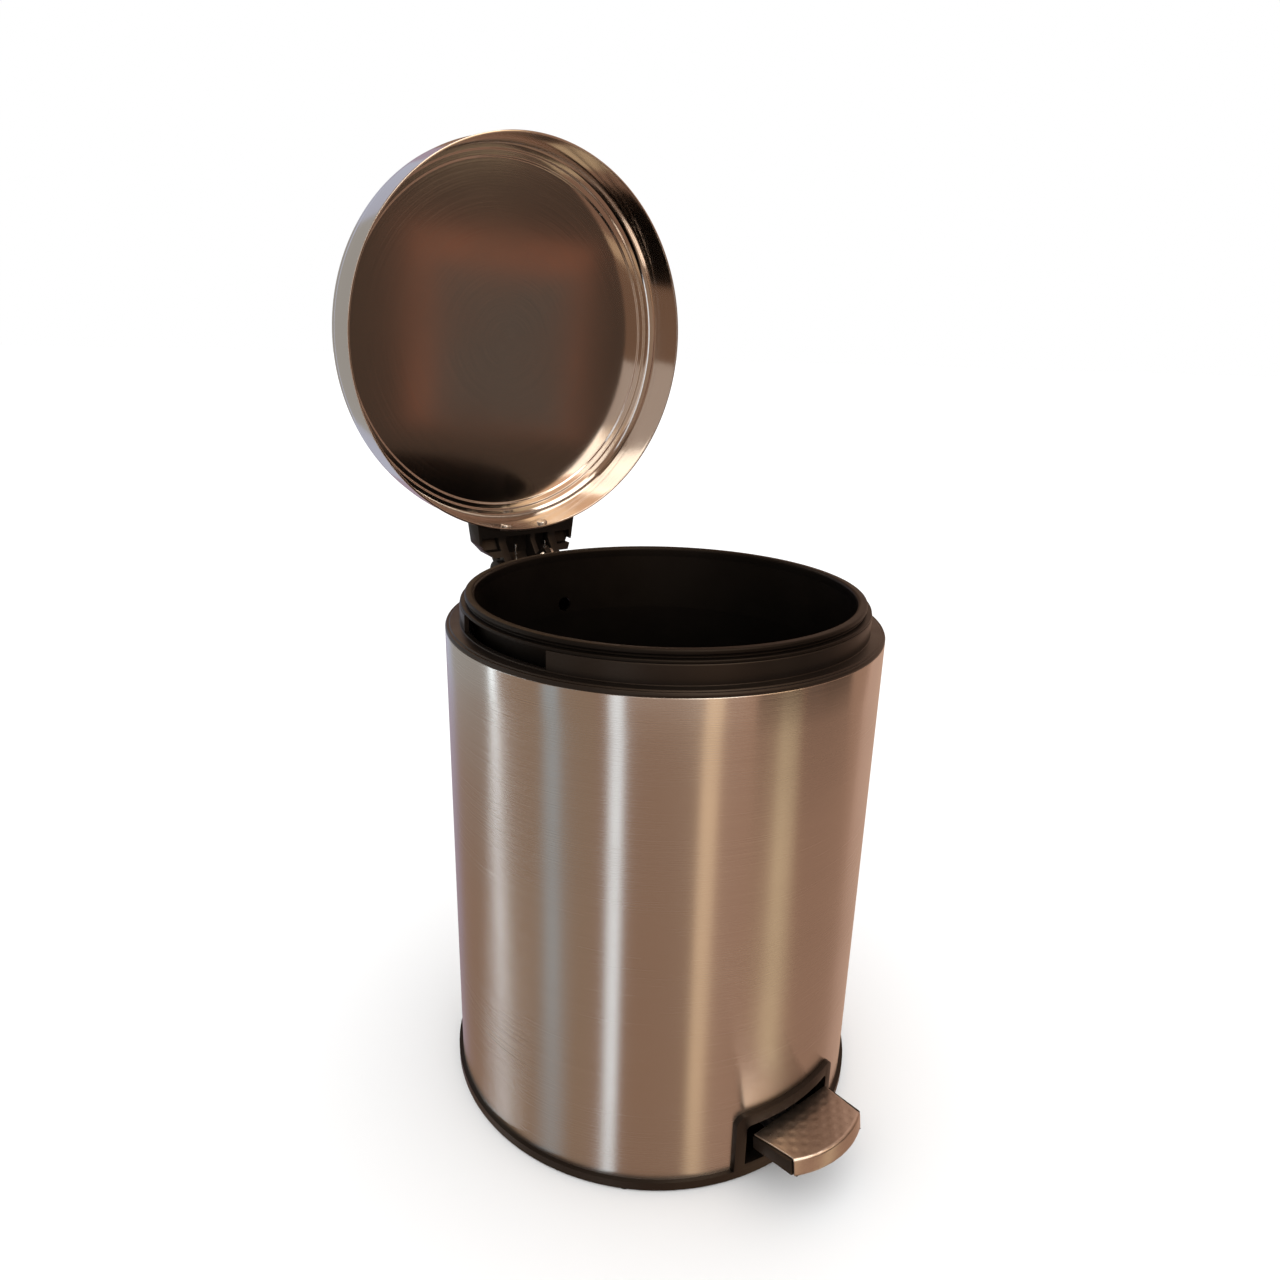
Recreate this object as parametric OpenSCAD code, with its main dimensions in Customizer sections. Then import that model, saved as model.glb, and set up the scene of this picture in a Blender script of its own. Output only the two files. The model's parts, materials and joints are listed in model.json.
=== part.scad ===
// Pedal bin of about five litres: steel shell, lifting lid, inner bucket and foot pedal.
// Millimetres, +Z up. The origin is on the floor, on the shell's axis. The pedal is at -Y, the hinge at +Y.
// The bin is drawn at rest with its lid open and its pedal down.

/* [Shell] */
// Outer diameter of the steel shell
body_d = 205; // [180:1:260]
// Height of the shell's top edge above the floor
body_h = 237; // [200:1:330]
// Sheet thickness of the shell and the lid
sheet_t = 0.6; // [0.5:0.1:1]
// Height of the base ring, where the steel begins
ring_h = 5; // [4:0.5:7]
// Thickness of the rubber feet
foot_t = 0.8; // [0.6:0.1:2]

/* [Collar and bucket] */
// Height of the collar's upright band above its shelf
band_h = 8.6; // [7:0.1:12]
// Radial distance from the shell's face in to the band's face
band_inset = 6.7; // [6:0.1:8]
// Half the angle of each finger notch
notch_half_angle = 18.5; // [10:0.5:25]
// Wall thickness of the bucket
bucket_t = 1.5; // [1:0.1:2]
// Diameter of the vent hole in the bucket's back wall
vent_d = 7.5; // [4:0.5:10]

/* [Lid and hinge] */
// Depth of the lid pan, from its rim to its flat panel
lid_depth = 27.2; // [22:0.2:34]
// Angle that the lid opens to
open_angle = 86; // [60:1:88]
// Diameter of the hinge pin
pin_d = 4; // [3:0.1:5]
// Width of the hinge arm where it meets the lid
arm_w = 64; // [58:1:72]

/* [Linkage] */
// Distance of the rod's bent end from the hinge axis
crank_r = 15; // [12:0.5:18]
// Diameter of the push rod's wire
wire_d = 3; // [2:0.1:4]
// Diameter of the pedal's axle
axle_d = 5; // [4:0.1:6]
// Radial clearance of everything that turns on a pin
run_gap = 0.05; // [0.02:0.01:0.1]

/* [Pedal] */
// Width of the pedal's steel plate at the shell
pedal_w = 47.4; // [38:0.2:58]
// How far the pedal's nose stands out from the shell
pedal_reach = 29.5; // [26:0.5:34]
// Height of the plate's inner edge above the axle
pedal_rise = 7.4; // [6.5:0.1:11]
// Angle at which the plate rises towards its nose
pedal_slope = 8.36; // [5:0.1:10]

/* [Hidden] */
$fn = 96;

steel = "silver";
plastic = [0.16, 0.14, 0.13];
rubber = [0.25, 0.25, 0.25];
bend_bulge = 0.04;     // how far the ball at a wire's bend stands out of the wire
head_gap = 0.2;        // between a screw's head and its recess
eps = 0.01;            // overlap of joined bodies
skin_gap = 0.1;        // gap between fixed curved faces
through = 1;           // how far a cutting body runs past a face

body_r = body_d / 2;
wire_r = wire_d / 2;
shell_in_r = body_r - sheet_t;

crank_angle = open_angle / 2;
crank_drop = 2 * crank_r * sin(crank_angle);
crank_sway = crank_r * (1 - cos(crank_angle));

// Lever's section, and the axle's height that lets its far end swing above the base plate
lever_w = 16;
lever_h = 8;
lever_t = 1.5;
plate_h = 2;           // thickness of the base plate
lever_room = 1.47;     // room under the lowered lever
axle_z = foot_t + plate_h + lever_room + lever_h / 2 + crank_drop / 2;
lug_x = lever_w / 2 + 0.6;
lug_t = 4;
lug_half = 6;          // half the length of a lug that holds the axle

// Base: ring, wall, deck
ring_out = 2;          // the ring stands out past the steel
ring_lip = 3;          // the ring stands in past the wall
plate_ledge = 3;       // how far the ring covers the base plate's edge
wall_t = 1.7;
wall_gap = 0.3;        // between the shell and the wall inside it
wall_r = shell_in_r - wall_gap;
wall_in_r = wall_r - wall_t;
base_plate_r = wall_in_r - ring_lip;
deck_gap = 1.27;       // room between the raised lever and the deck
deck_z = axle_z + crank_drop / 2 + lever_h / 2 + deck_gap;
deck_t = 2.3;
rib_w = 1.8;
rib_h = 14;
rib_angles = [20, 55, 90, 125, 160, 200, 235, 270, 305, 340];
hub_r = 46;            // ring of the deck's ribs
foot_r = 3.5;
foot_inset = 1.8;      // from the shell's face in to a foot's centre
foot_count = 4;
mid_foot_r = 9;        // the foot under the middle of the base plate
rod_room = 2.5;        // room round the rod where it passes a wall

// Collar
shelf_z = body_h + 2.3;
shelf_t = 3;
shelf_chamfer = 0.6;
band_r = body_r - band_inset;
band_t = 2;
band_top = shelf_z + band_h;
skirt_drop = 15;
notch_mid_angle = 86.5; // from the front

// Bucket
bucket_rest_z = deck_z + deck_t + 1.7;
bucket_top = band_top + 4.9;
bucket_foot_r = body_r - 19;
bucket_wall_r = body_r - 14.5;
bucket_neck_r = body_r - 12.5;
bucket_lip_r = body_r - 9.1;
bucket_flange_r = band_r - 0.3;
bucket_corner = 4;     // rounding of the bottom's edge
bucket_cut = 1.2;      // the same corner's middle point, in from both faces
flange_t = 1.4;
lip_w = 4.4;           // width of the rolled lip
lip_round = 1.6;
lip_soft = 0.5;
lip_step = 1;
neck_h = 3;
bucket_shoulder_z = body_h - 18;
vent_z = body_h - 13;

// Lid, drawn closed and then swung open about the hinge
rim_z = shelf_z + 0.4;
lid_r = body_r - 2.2;
lid_corner_z = rim_z + 16;
panel_r = body_r - 9;
lid_top = rim_z + lid_depth + sheet_t;
rim_bead = 0.4;        // how far the rolled rim stands out
rim_bead_h = 1.6;
lug_r = wire_d / 2 + 2;
lug_gap = 2;           // room between the crank lug and the shell as the lug swings past it
hinge_y = body_r + crank_r + lug_r + lug_gap;
hinge_z = body_h;
pin_r = pin_d / 2;

// Hinge arm, bracket and housing
knuckle_r = 7;
arm_hub_w = 37.2;      // width of the arm between the housing's ears
ear_gap = 0.4;
ear_t = 3.5;
ear_x = arm_hub_w / 2 + ear_gap;
wing_y = hinge_y - knuckle_r - 2.2;
arm_low_z = rim_z + 1.5;
arm_top_z = rim_z + 13.8;
arm_inset = 6;         // how far the arm's outline is drawn in past the lid's skirt
arm_rib = 4.6;         // thickness of the arm's side ribs
arm_skin = 2.2;        // thickness of the arm over its hollow
wing_t = 3;
wing_slope = 6.5;
tongue_t = 1.2;
tongue_z = rim_z + 8.9;
tongue_gap = 0.2;
tongue_w = 35;
tongue_back = hinge_y - 5;
flange_band_t = 1.2;
screw_well = 6.8;      // depth of the wells that take the arm's screw heads
rivet_x = 12;
rivet_z = rim_z + 5;
rivet_r = 1.6;
rivet_head_r = 3;
rivet_head_t = 1.2;
rivet_tail = 0.8;
// the skirt's curve under a rivet's head, and a little more
rivet_sag = lid_r - sqrt(lid_r * lid_r - rivet_head_r * rivet_head_r) + skin_gap / 2;
arm_screw_x = 16.2;
arm_screw_y = hinge_y - 8.5;
arm_screw_r = 1.5;
arm_head_r = 2.9;
arm_head_t = 1.8;
arm_screw_len = 6;
crank_lug_x = 2.2;
crank_lug_t = 3;
house_w = 60;
house_top = hinge_z - knuckle_r - 0.8;
house_low = house_top - 43;
house_back = hinge_y + knuckle_r;
house_slant = 12;      // height of the housing's sloping underside
house_foot = 9;        // how far the underside stands out from the shell
cavity_w = 26;
cavity_floor = 3;
cover_t = 4;
cover_bevel = 4;
cover_head_t = 1.6;
cover_bite = 3;        // how far the cover's screws reach into the housing
screw_r = 2;
screw_head_r = 3.4;
screw_head_t = 2;
screw_len = 10;
housing_screw_angle = 11.3;
housing_screw_low = house_low + 11;
housing_screw_high = house_low + 27;
cover_screw_x = 21;
cover_screw_z = house_low + 27;

// Springs on the pin
spring_wire_d = 1.4;
spring_r = 4.4;        // mean radius of the coil
spring_turns = 5;
spring_x = [-12.6, 7];
spring_leg = 14;
spring_leg_rise = 1.4;
spring_room = spring_r + spring_wire_d;

// Push rod, with its crank a little above the hinge axis at rest and as much below it when closed
crank_y = hinge_y - crank_r * cos(crank_angle);
crank_z = hinge_z + crank_r * sin(crank_angle);
rod_in_y = body_r - 7.5;
jog_z = body_h - skirt_drop - 7;
jog_half = 4;
clip_t = 1.2;
clip_extra_r = 1.6;
clip_gap = 0.7;
hook_end = clip_gap + clip_t + 0.5; // the wire past what it runs through
hook_len = crank_lug_x + crank_lug_t + hook_end;

// Lever, drawn level about its axle and then tilted
axle_y = -(body_r - 24.5);
lever_len = rod_in_y - crank_sway / 2 - axle_y;
lever_tilt = asin(crank_drop / 2 / lever_len);
lever_front = 24;
lever_tail = 5.5;
rod_low_z = axle_z + crank_drop / 2;
slot_h = wire_d + 1.6;
slot_l = wire_d + crank_sway + 0.8;
axle_r = axle_d / 2;

// Pedal and its frame
plate_t = 0.8;
pedal_y = -(body_r + 1.1);
pedal_z = axle_z + pedal_rise;
pedal_side = pedal_reach - 7;
pedal_nose = 5.9;      // bulge of the nose past its corners
pedal_taper = 1.6;
pedal_thick = 12;
pedal_belly_r = 60;
body_margin = 0.8;
lip_h = 8;
tongue_drop = 7.5;     // middle of the lever's front tongue, under the plate
tongue_half = 1;
tongue_inset = 2;      // from the pedal's side length to the tongue's end
lever_gap = 0.2;       // between the lever and the pedal's pocket for it
pedal_screw_y = [-5, -12];
belly_y = -15;         // where the pedal's underside begins to rise to the lip on its nose
pedal_screw_r = 1.7;
pedal_head_r = 2.9;
pedal_head_t = 1.5;
thread_stop = 1.5;     // plastic left over a screw's end
buffer_gap = 0.5;
buffer_half = 5;
frame_out = 2.5;
frame_grip = 2;        // the frame's edge reaches this far inside the shell
frame_w = pedal_w + 15;
frame_top = pedal_z + 9.9;
opening_w = pedal_w + 5;
opening_low = 8.2;
opening_top = pedal_z + 3.9;
frame_corner = 5;
opening_corner = 2.5;
cutout_w = opening_w + 4.6;
cutout_top = opening_top + 2.8;
front_y = [-body_r - 9, -body_r / 2]; // depth of the cuts made from the front

// ---------- helpers ----------

module tube(r_out, r_in, low, high) {
    translate([0, 0, low]) difference() {
        cylinder(r = r_out, h = high - low);
        translate([0, 0, -through]) cylinder(r = r_in, h = high - low + 2 * through);
    }
}

// A box given by its limits on each axis
module span_box(x, y, z) {
    translate([x[0], y[0], z[0]]) cube([x[1] - x[0], y[1] - y[0], z[1] - z[0]]);
}

// A cylinder along +X from x0 to x1
module x_rod(r, x0, x1, y, z) {
    translate([x0, y, z]) rotate([0, 90, 0]) cylinder(r = r, h = x1 - x0);
}

// A profile drawn in (y, z), given a thickness along X
module side_plate(x0, x1) {
    translate([x0, 0, 0]) rotate([90, 0, 90]) linear_extrude(x1 - x0) children();
}

// A profile drawn in (x, z), extruded along Y
module front_plate(y0, y1) {
    translate([0, y1, 0]) rotate([90, 0, 0]) linear_extrude(y1 - y0) children();
}

// A straight piece of wire between two points, with a ball a little wider than the wire at its first end
module wire(a, b, r) {
    d = b - a;
    len = norm(d);
    translate(a) {
        sphere(r = r + bend_bulge);
        rotate([0, acos(d[2] / len), atan2(d[1], d[0])]) cylinder(r = r, h = len);
    }
}

// A wedge of the bin's plan, with angles counted from the front towards +X
module wedge(from, to, r, low, high) {
    steps = 8;
    rim = [for (i = [0 : steps]) let (a = from + (to - from) * i / steps) [r * sin(a), -r * cos(a)]];
    translate([0, 0, low]) linear_extrude(high - low) polygon(concat([[0, 0]], rim));
}

module round_top_rect(w, low, high, r) {
    translate([-w / 2, low]) square([w, high - low - r]);
    translate([-w / 2 + r, low]) square([w - 2 * r, high - low]);
    for (side = [-1, 1]) translate([side * (w / 2 - r), high - r]) circle(r = r);
}

// Puts what is drawn closed into the open position
module swing_open() {
    translate([0, hinge_y, hinge_z]) rotate([-open_angle, 0, 0]) translate([0, -hinge_y, -hinge_z])
        children();
}

// Puts what is drawn level about the axle into the lever's tilt
module tilt_lever() {
    translate([0, axle_y, axle_z]) rotate([lever_tilt, 0, 0]) children();
}

// Puts what is drawn under the plate's inner edge into the pedal's slope
module on_pedal() {
    translate([0, pedal_y, pedal_z]) rotate([-pedal_slope, 0, 0]) children();
}

module push_clip(r, x, y, z) {
    difference() {
        x_rod(r + clip_extra_r, x, x + clip_t, y, z);
        x_rod(r, x - through, x + clip_t + through, y, z);
    }
}

// ---------- fixed body ----------

module outer_shell() {
    color(steel) difference() {
        tube(body_r, shell_in_r, ring_h, body_h);
        span_box([-cutout_w / 2, cutout_w / 2], front_y, [0, cutout_top]);
        span_box([-wire_r - rod_room, wire_r + rod_room], [body_r / 2, body_r + through],
                 [jog_z - crank_drop - wire_r - rod_room, jog_z + wire_r + rod_room]);
        housing_screw_places() translate([0, body_r - 2 * sheet_t, 0]) rotate([-90, 0, 0])
            cylinder(r = screw_r + skin_gap, h = 4 * sheet_t);
    }
}

module top_collar() {
    skirt_r = shell_in_r - skin_gap;
    color(plastic) difference() {
        rotate_extrude() polygon([
            [skirt_r - band_t, body_h - skirt_drop], [skirt_r, body_h - skirt_drop],
            [skirt_r, body_h], [body_r, body_h], [body_r, shelf_z - shelf_chamfer],
            [body_r - shelf_chamfer, shelf_z], [band_r, shelf_z], [band_r, band_top],
            [band_r - band_t, band_top], [band_r - band_t, shelf_z - shelf_t],
            [skirt_r - band_t, shelf_z - shelf_t]
        ]);
        for (side = [-1, 1])
            wedge(side * notch_mid_angle - notch_half_angle, side * notch_mid_angle + notch_half_angle,
                  band_r + through, shelf_z, band_top + through);
    }
}

module base() {
    rib_low = deck_z - rib_h;
    color(plastic) difference() {
        union() {
            tube(body_r + ring_out, base_plate_r - plate_ledge, foot_t, ring_h);
            tube(wall_r, wall_in_r, foot_t, deck_z + deck_t);
            translate([0, 0, deck_z]) cylinder(r = wall_r, h = deck_t);
            tube(hub_r, hub_r - rib_w, rib_low, deck_z + eps);
            for (a = rib_angles) rotate([0, 0, a - 90])
                span_box([hub_r - rib_w, wall_r - wall_t / 2], [-rib_w / 2, rib_w / 2],
                         [rib_low, deck_z + eps]);
            for (side = [-1, 1]) mirror([side < 0 ? 1 : 0, 0, 0])
                span_box([lug_x, lug_x + lug_t], [axle_y - lug_half, axle_y + lug_half],
                         [axle_z - lug_half, deck_z + eps]);
        }
        // the base plate's seat
        translate([0, 0, -through]) cylinder(r = base_plate_r, h = foot_t + plate_h + through);
        // ways of the lever past the ribs and the ring, the front of the wall, and the slot for the rod
        span_box([-lug_x, lug_x], [-body_r, 0], [foot_t + ring_h, deck_z]);
        span_box([-lug_x, lug_x], [0, wall_in_r], [foot_t + plate_h, deck_z]);
        span_box([-cutout_w / 2, cutout_w / 2], [-body_r, -body_r * 0.7], [ring_h, deck_z]);
        span_box([-wire_r - rod_room, wire_r + rod_room],
                 [rod_in_y - crank_sway - wire_r - rod_room, rod_in_y + wire_r + rod_room],
                 [deck_z - through, deck_z + deck_t + through]);
        x_rod(axle_r, -lug_x - lug_t - through, lug_x + lug_t + through, axle_y, axle_z);
    }
}

module base_plate() {
    color(plastic) translate([0, 0, foot_t]) cylinder(r = base_plate_r - skin_gap, h = plate_h);
}

module rubber_feet() {
    color(rubber) {
        cylinder(r = mid_foot_r, h = foot_t);
        for (i = [0 : foot_count - 1]) rotate([0, 0, 45 + i * 360 / foot_count])
            translate([body_r - foot_inset, 0, 0]) cylinder(r = foot_r, h = foot_t);
    }
}

module pedal_frame() {
    color(plastic) difference() {
        union() {
            intersection() {
                tube(body_r + frame_out, body_r + skin_gap, ring_h, frame_top);
                front_plate(front_y[0], front_y[1]) round_top_rect(frame_w, ring_h, frame_top, frame_corner);
            }
            intersection() {
                tube(body_r + through, shell_in_r - frame_grip, ring_h, cutout_top - skin_gap);
                span_box([-cutout_w / 2 + skin_gap, cutout_w / 2 - skin_gap], front_y,
                         [ring_h, cutout_top - skin_gap]);
            }
        }
        front_plate(front_y[0], front_y[1])
            round_top_rect(opening_w, opening_low, opening_top, opening_corner);
    }
}

module inner_bucket() {
    foot_in_r = bucket_foot_r - bucket_t;
    floor_z = bucket_rest_z + bucket_t;
    flange_top = band_top + flange_t;
    color(plastic) difference() {
        rotate_extrude() polygon([
            [0, bucket_rest_z], [bucket_foot_r - bucket_corner, bucket_rest_z],
            [bucket_foot_r - bucket_cut, bucket_rest_z + bucket_cut],
            [bucket_foot_r, bucket_rest_z + bucket_corner],
            [bucket_wall_r, bucket_shoulder_z], [bucket_neck_r, band_top - neck_h],
            [bucket_neck_r, band_top], [bucket_flange_r, band_top], [bucket_flange_r, flange_top],
            [bucket_lip_r - lip_step, flange_top], [bucket_lip_r - lip_step, flange_top + lip_step],
            [bucket_lip_r, bucket_top - lip_round], [bucket_lip_r - lip_soft, bucket_top - lip_soft],
            [bucket_lip_r - lip_round, bucket_top], [bucket_lip_r - lip_w + lip_round, bucket_top],
            [bucket_lip_r - lip_w + lip_soft, bucket_top - lip_soft],
            [bucket_lip_r - lip_w, bucket_top - lip_round],
            [bucket_neck_r - bucket_t, band_top - neck_h], [bucket_wall_r - bucket_t, bucket_shoulder_z],
            [foot_in_r, floor_z + bucket_corner], [foot_in_r - bucket_cut, floor_z + bucket_cut],
            [foot_in_r - bucket_corner, floor_z], [0, floor_z]
        ]);
        translate([0, body_r, vent_z]) rotate([90, 0, 0]) cylinder(d = vent_d, h = body_r / 2);
    }
}

// Children are placed at each screw of the housing, with +Y out of the shell
module housing_screw_places() {
    for (side = [-1, 1], z = [housing_screw_low, housing_screw_high])
        rotate([0, 0, side * housing_screw_angle]) translate([0, 0, z]) children();
}

module hinge_housing() {
    color(plastic) difference() {
        union() {
            side_plate(-house_w / 2, house_w / 2) polygon([
                [body_r * 0.9, house_low], [body_r + house_foot, house_low],
                [house_back, house_low + house_slant], [house_back, house_top], [body_r * 0.9, house_top]
            ]);
            for (side = [-1, 1]) mirror([side < 0 ? 1 : 0, 0, 0]) side_plate(ear_x, ear_x + ear_t) {
                translate([hinge_y, hinge_z]) circle(r = knuckle_r);
                translate([hinge_y - knuckle_r, house_top - eps])
                    square([2 * knuckle_r, hinge_z - house_top]);
            }
        }
        translate([0, 0, house_low - through])
            cylinder(r = body_r + skin_gap, h = house_top - house_low + 2 * through);
        span_box([-cavity_w / 2, cavity_w / 2], [0, house_back + through],
                 [house_low + cavity_floor, house_top + through]);
        x_rod(pin_r, -house_w, house_w, hinge_y, hinge_z);
        housing_screw_places() translate([0, body_r, 0]) rotate([-90, 0, 0])
            cylinder(r = screw_r, h = screw_len);
        for (side = [-1, 1]) translate([side * cover_screw_x, house_back - 2 * cover_bite, cover_screw_z])
            rotate([-90, 0, 0]) cylinder(r = screw_r, h = 2 * cover_bite + through);
    }
}

module hinge_cover() {
    cover_back = house_back + cover_t;
    color(plastic) difference() {
        side_plate(-house_w / 2, house_w / 2) polygon([
            [house_back, house_low + house_slant], [cover_back, house_low + house_slant + cover_bevel],
            [cover_back, house_top - cover_bevel], [house_back + cover_t / 2, house_top - through],
            [house_back, house_top - through]
        ]);
        for (side = [-1, 1]) translate([side * cover_screw_x, house_back, cover_screw_z])
            rotate([-90, 0, 0]) {
                translate([0, 0, -through]) cylinder(r = screw_r, h = cover_t + 2 * through);
                translate([0, 0, cover_t - cover_head_t])
                    cylinder(r = screw_head_r + skin_gap, h = cover_head_t + through);
            }
    }
}

module housing_screws() {
    color(steel) housing_screw_places() translate([0, shell_in_r - skin_gap, 0]) rotate([-90, 0, 0]) {
        translate([0, 0, -screw_head_t]) cylinder(r = screw_head_r, h = screw_head_t);
        translate([0, 0, -eps]) cylinder(r = screw_r, h = screw_len);
    }
}

module cover_screws() {
    color(steel) for (side = [-1, 1])
        translate([side * cover_screw_x, house_back + cover_t - cover_head_t, cover_screw_z])
            rotate([-90, 0, 0]) {
                cylinder(r = screw_head_r, h = cover_head_t);
                translate([0, 0, -cover_t - cover_bite])
                    cylinder(r = screw_r, h = cover_t + cover_bite + eps);
            }
}

pin_end = ear_x + ear_t + clip_t;

module hinge_pin() {
    color(steel) x_rod(pin_r, -pin_end, pin_end, hinge_y, hinge_z);
}

module pin_caps() {
    color(steel) for (x = [-pin_end, pin_end - clip_t]) push_clip(pin_r, x, hinge_y, hinge_z);
}

// ---------- lid ----------

module lid_shell() {
    corner = lid_top - lid_corner_z;
    corner_w = lid_r - panel_r;
    arc = [for (a = [0 : 15 : 90])
        [panel_r + corner_w * cos(a), lid_corner_z + corner * sin(a)]];
    arc_in = [for (a = [90 : -15 : 0])
        [panel_r - sheet_t + corner_w * cos(a), lid_corner_z + (corner - 1.5 * sheet_t) * sin(a)]];
    color(steel) swing_open() difference() {
        rotate_extrude() polygon(concat(
            [[lid_r, rim_z], [lid_r + rim_bead, rim_z + rim_bead],
             [lid_r + rim_bead, rim_z + rim_bead_h - rim_bead], [lid_r, rim_z + rim_bead_h]],
            arc, [[0, lid_top], [0, lid_top - sheet_t], [panel_r - 2 * sheet_t, lid_top - sheet_t]],
            arc_in, [[lid_r - sheet_t, rim_z + rim_bead_h], [lid_r - sheet_t, rim_z]]
        ));
        rivet_hole();
    }
}

// Children are placed at each rivet on the lid's skirt, with +Z pointing out of the skirt
module rivet_places() {
    for (side = [-1, 1]) rotate([0, 0, -side * asin(rivet_x / lid_r)])
        translate([0, lid_r, rivet_z]) rotate([-90, 0, 0]) children();
}

module rivet_hole() {
    rivet_places() translate([0, 0, -2 * rivet_r]) cylinder(r = rivet_r, h = 4 * rivet_r);
}

module lid_bracket() {
    low = rim_z + 2;
    color(steel) swing_open() difference() {
        intersection() {
            union() {
                tube(lid_r + flange_band_t, lid_r, low, tongue_z + tongue_t);
                span_box([-tongue_w / 2, tongue_w / 2], [lid_r / 2, tongue_back],
                         [tongue_z, tongue_z + tongue_t]);
            }
            difference() {
                span_box([-tongue_w / 2, tongue_w / 2], [lid_r / 2, tongue_back],
                         [low, tongue_z + tongue_t]);
                translate([0, 0, low - through]) cylinder(r = lid_r, h = lid_depth);
            }
        }
        rivet_hole();
        for (side = [-1, 1]) translate([side * arm_screw_x, arm_screw_y, tongue_z - through])
            cylinder(r = arm_screw_r, h = tongue_t + 2 * through);
    }
}

module lid_rivets() {
    color(steel) swing_open() rivet_places() {
        translate([0, 0, -sheet_t - rivet_sag - rivet_head_t])
            cylinder(r1 = rivet_head_r - rivet_tail, r2 = rivet_head_r, h = rivet_head_t);
        translate([0, 0, -sheet_t - rivet_sag - eps])
            cylinder(r = rivet_r, h = sheet_t + rivet_sag + flange_band_t + rivet_tail);
        translate([0, 0, flange_band_t + skin_gap])
            cylinder(r1 = rivet_r + 1, r2 = rivet_r + 0.4, h = rivet_tail);
    }
}

// Side outline of the arm, in (y, z), with the lid closed
module arm_outline() {
    polygon([
        [lid_r - arm_inset, arm_low_z], [body_r + 4.5, arm_low_z], [hinge_y - 4, hinge_z - 5.7],
        [hinge_y, hinge_z], [hinge_y + 2.4, hinge_z + 6.5], [hinge_y - 9, arm_top_z - 2.4],
        [lid_r - arm_inset, arm_top_z]
    ]);
    translate([hinge_y, hinge_z]) circle(r = knuckle_r);
}

// Hollow on the arm's underside, between the top skin and the open bottom
module arm_hollow(x0, x1, back) {
    front = lid_r + 3.5;
    low = arm_low_z - 9;
    top = tongue_z - arm_skin;
    side_plate(x0, x1)
        polygon([[front, low], [back, low], [back, hinge_z + spring_room], [back - 6, top], [front, top]]);
}

module hinge_arm() {
    hub = arm_hub_w / 2;
    wing = arm_w / 2;
    inner = hub - arm_rib;
    shoulder = hub + arm_inset;
    lug_end = crank_lug_x + crank_lug_t;
    color(plastic) swing_open() difference() {
        union() {
            intersection() {
                side_plate(-wing, wing) arm_outline();
                translate([0, 0, hinge_z - 20]) linear_extrude(60) polygon([
                    [-wing, body_r * 0.9], [-wing + 1.5, wing_y - wing_slope], [-shoulder, wing_y],
                    [-hub, wing_y], [-hub, house_back + 2], [hub, house_back + 2], [hub, wing_y],
                    [shoulder, wing_y], [wing - 1.5, wing_y - wing_slope], [wing, body_r * 0.9]
                ]);
            }
            crank_lug(crank_lug_x, lug_end);
        }
        // the lid's skirt, the bracket's flange and its tongue
        translate([0, 0, rim_z - 2]) cylinder(r = lid_r + rim_bead + skin_gap / 2, h = lid_depth);
        intersection() {
            translate([0, 0, rim_z - 2]) cylinder(r = lid_r + flange_band_t + skin_gap, h = lid_depth);
            tongue_box(body_r / 2, body_r * 1.1, rim_z);
        }
        tongue_box(lid_r / 2, tongue_back + tongue_gap, tongue_z);
        // hollows beside the ribs and round the springs
        for (x = [[-inner, crank_lug_x], [lug_end, inner]]) {
            arm_hollow(x[0], x[1], hinge_y - 2);
            x_rod(spring_room, x[0], x[1], hinge_y, hinge_z);
            span_box(x, [hinge_y - spring_room, hinge_y + spring_room], [hinge_z - knuckle_r - 2, hinge_z]);
        }
        for (side = [-1, 1]) mirror([side < 0 ? 1 : 0, 0, 0])
            arm_hollow(hub, wing - wing_t, wing_y - wing_t);
        x_rod(pin_r + run_gap, -wing, wing, hinge_y, hinge_z);
        crank_bore();
        rivet_places() cylinder(r = rivet_head_r + head_gap, h = flange_band_t + 2 * rivet_tail);
        for (side = [-1, 1]) translate([side * arm_screw_x, arm_screw_y, 0]) {
            translate([0, 0, tongue_z - arm_skin - screw_well])
                cylinder(r = arm_head_r + head_gap, h = screw_well);
            translate([0, 0, tongue_z - arm_skin - through])
                cylinder(r = arm_screw_r, h = arm_screw_len + through);
        }
    }
}

// The slot of the bracket's tongue in the arm
module tongue_box(y0, y1, low) {
    half = tongue_w / 2 + tongue_gap;
    span_box([-half, half], [y0, y1], [low, tongue_z + tongue_t]);
}

// The crank's place when the lid is closed
crank_closed = [hinge_y - crank_r * cos(crank_angle), hinge_z - crank_r * sin(crank_angle)];

module crank_lug(x0, x1) {
    across = [sin(crank_angle), -cos(crank_angle)];
    root = knuckle_r - 1;
    side_plate(x0, x1) {
        translate(crank_closed) circle(r = lug_r);
        polygon([crank_closed + lug_r * across, crank_closed - lug_r * across,
                 [hinge_y, hinge_z] - root * across, [hinge_y, hinge_z] + root * across]);
    }
}

module crank_bore() {
    x_rod(wire_r + run_gap, -through, 20, crank_closed[0], crank_closed[1]);
}

module arm_screws() {
    color(steel) swing_open() for (side = [-1, 1])
        translate([side * arm_screw_x, arm_screw_y, tongue_z - arm_skin]) {
            translate([0, 0, -arm_head_t]) cylinder(r = arm_head_r, h = arm_head_t);
            translate([0, 0, -eps]) cylinder(r = arm_screw_r, h = arm_screw_len);
        }
}

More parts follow.
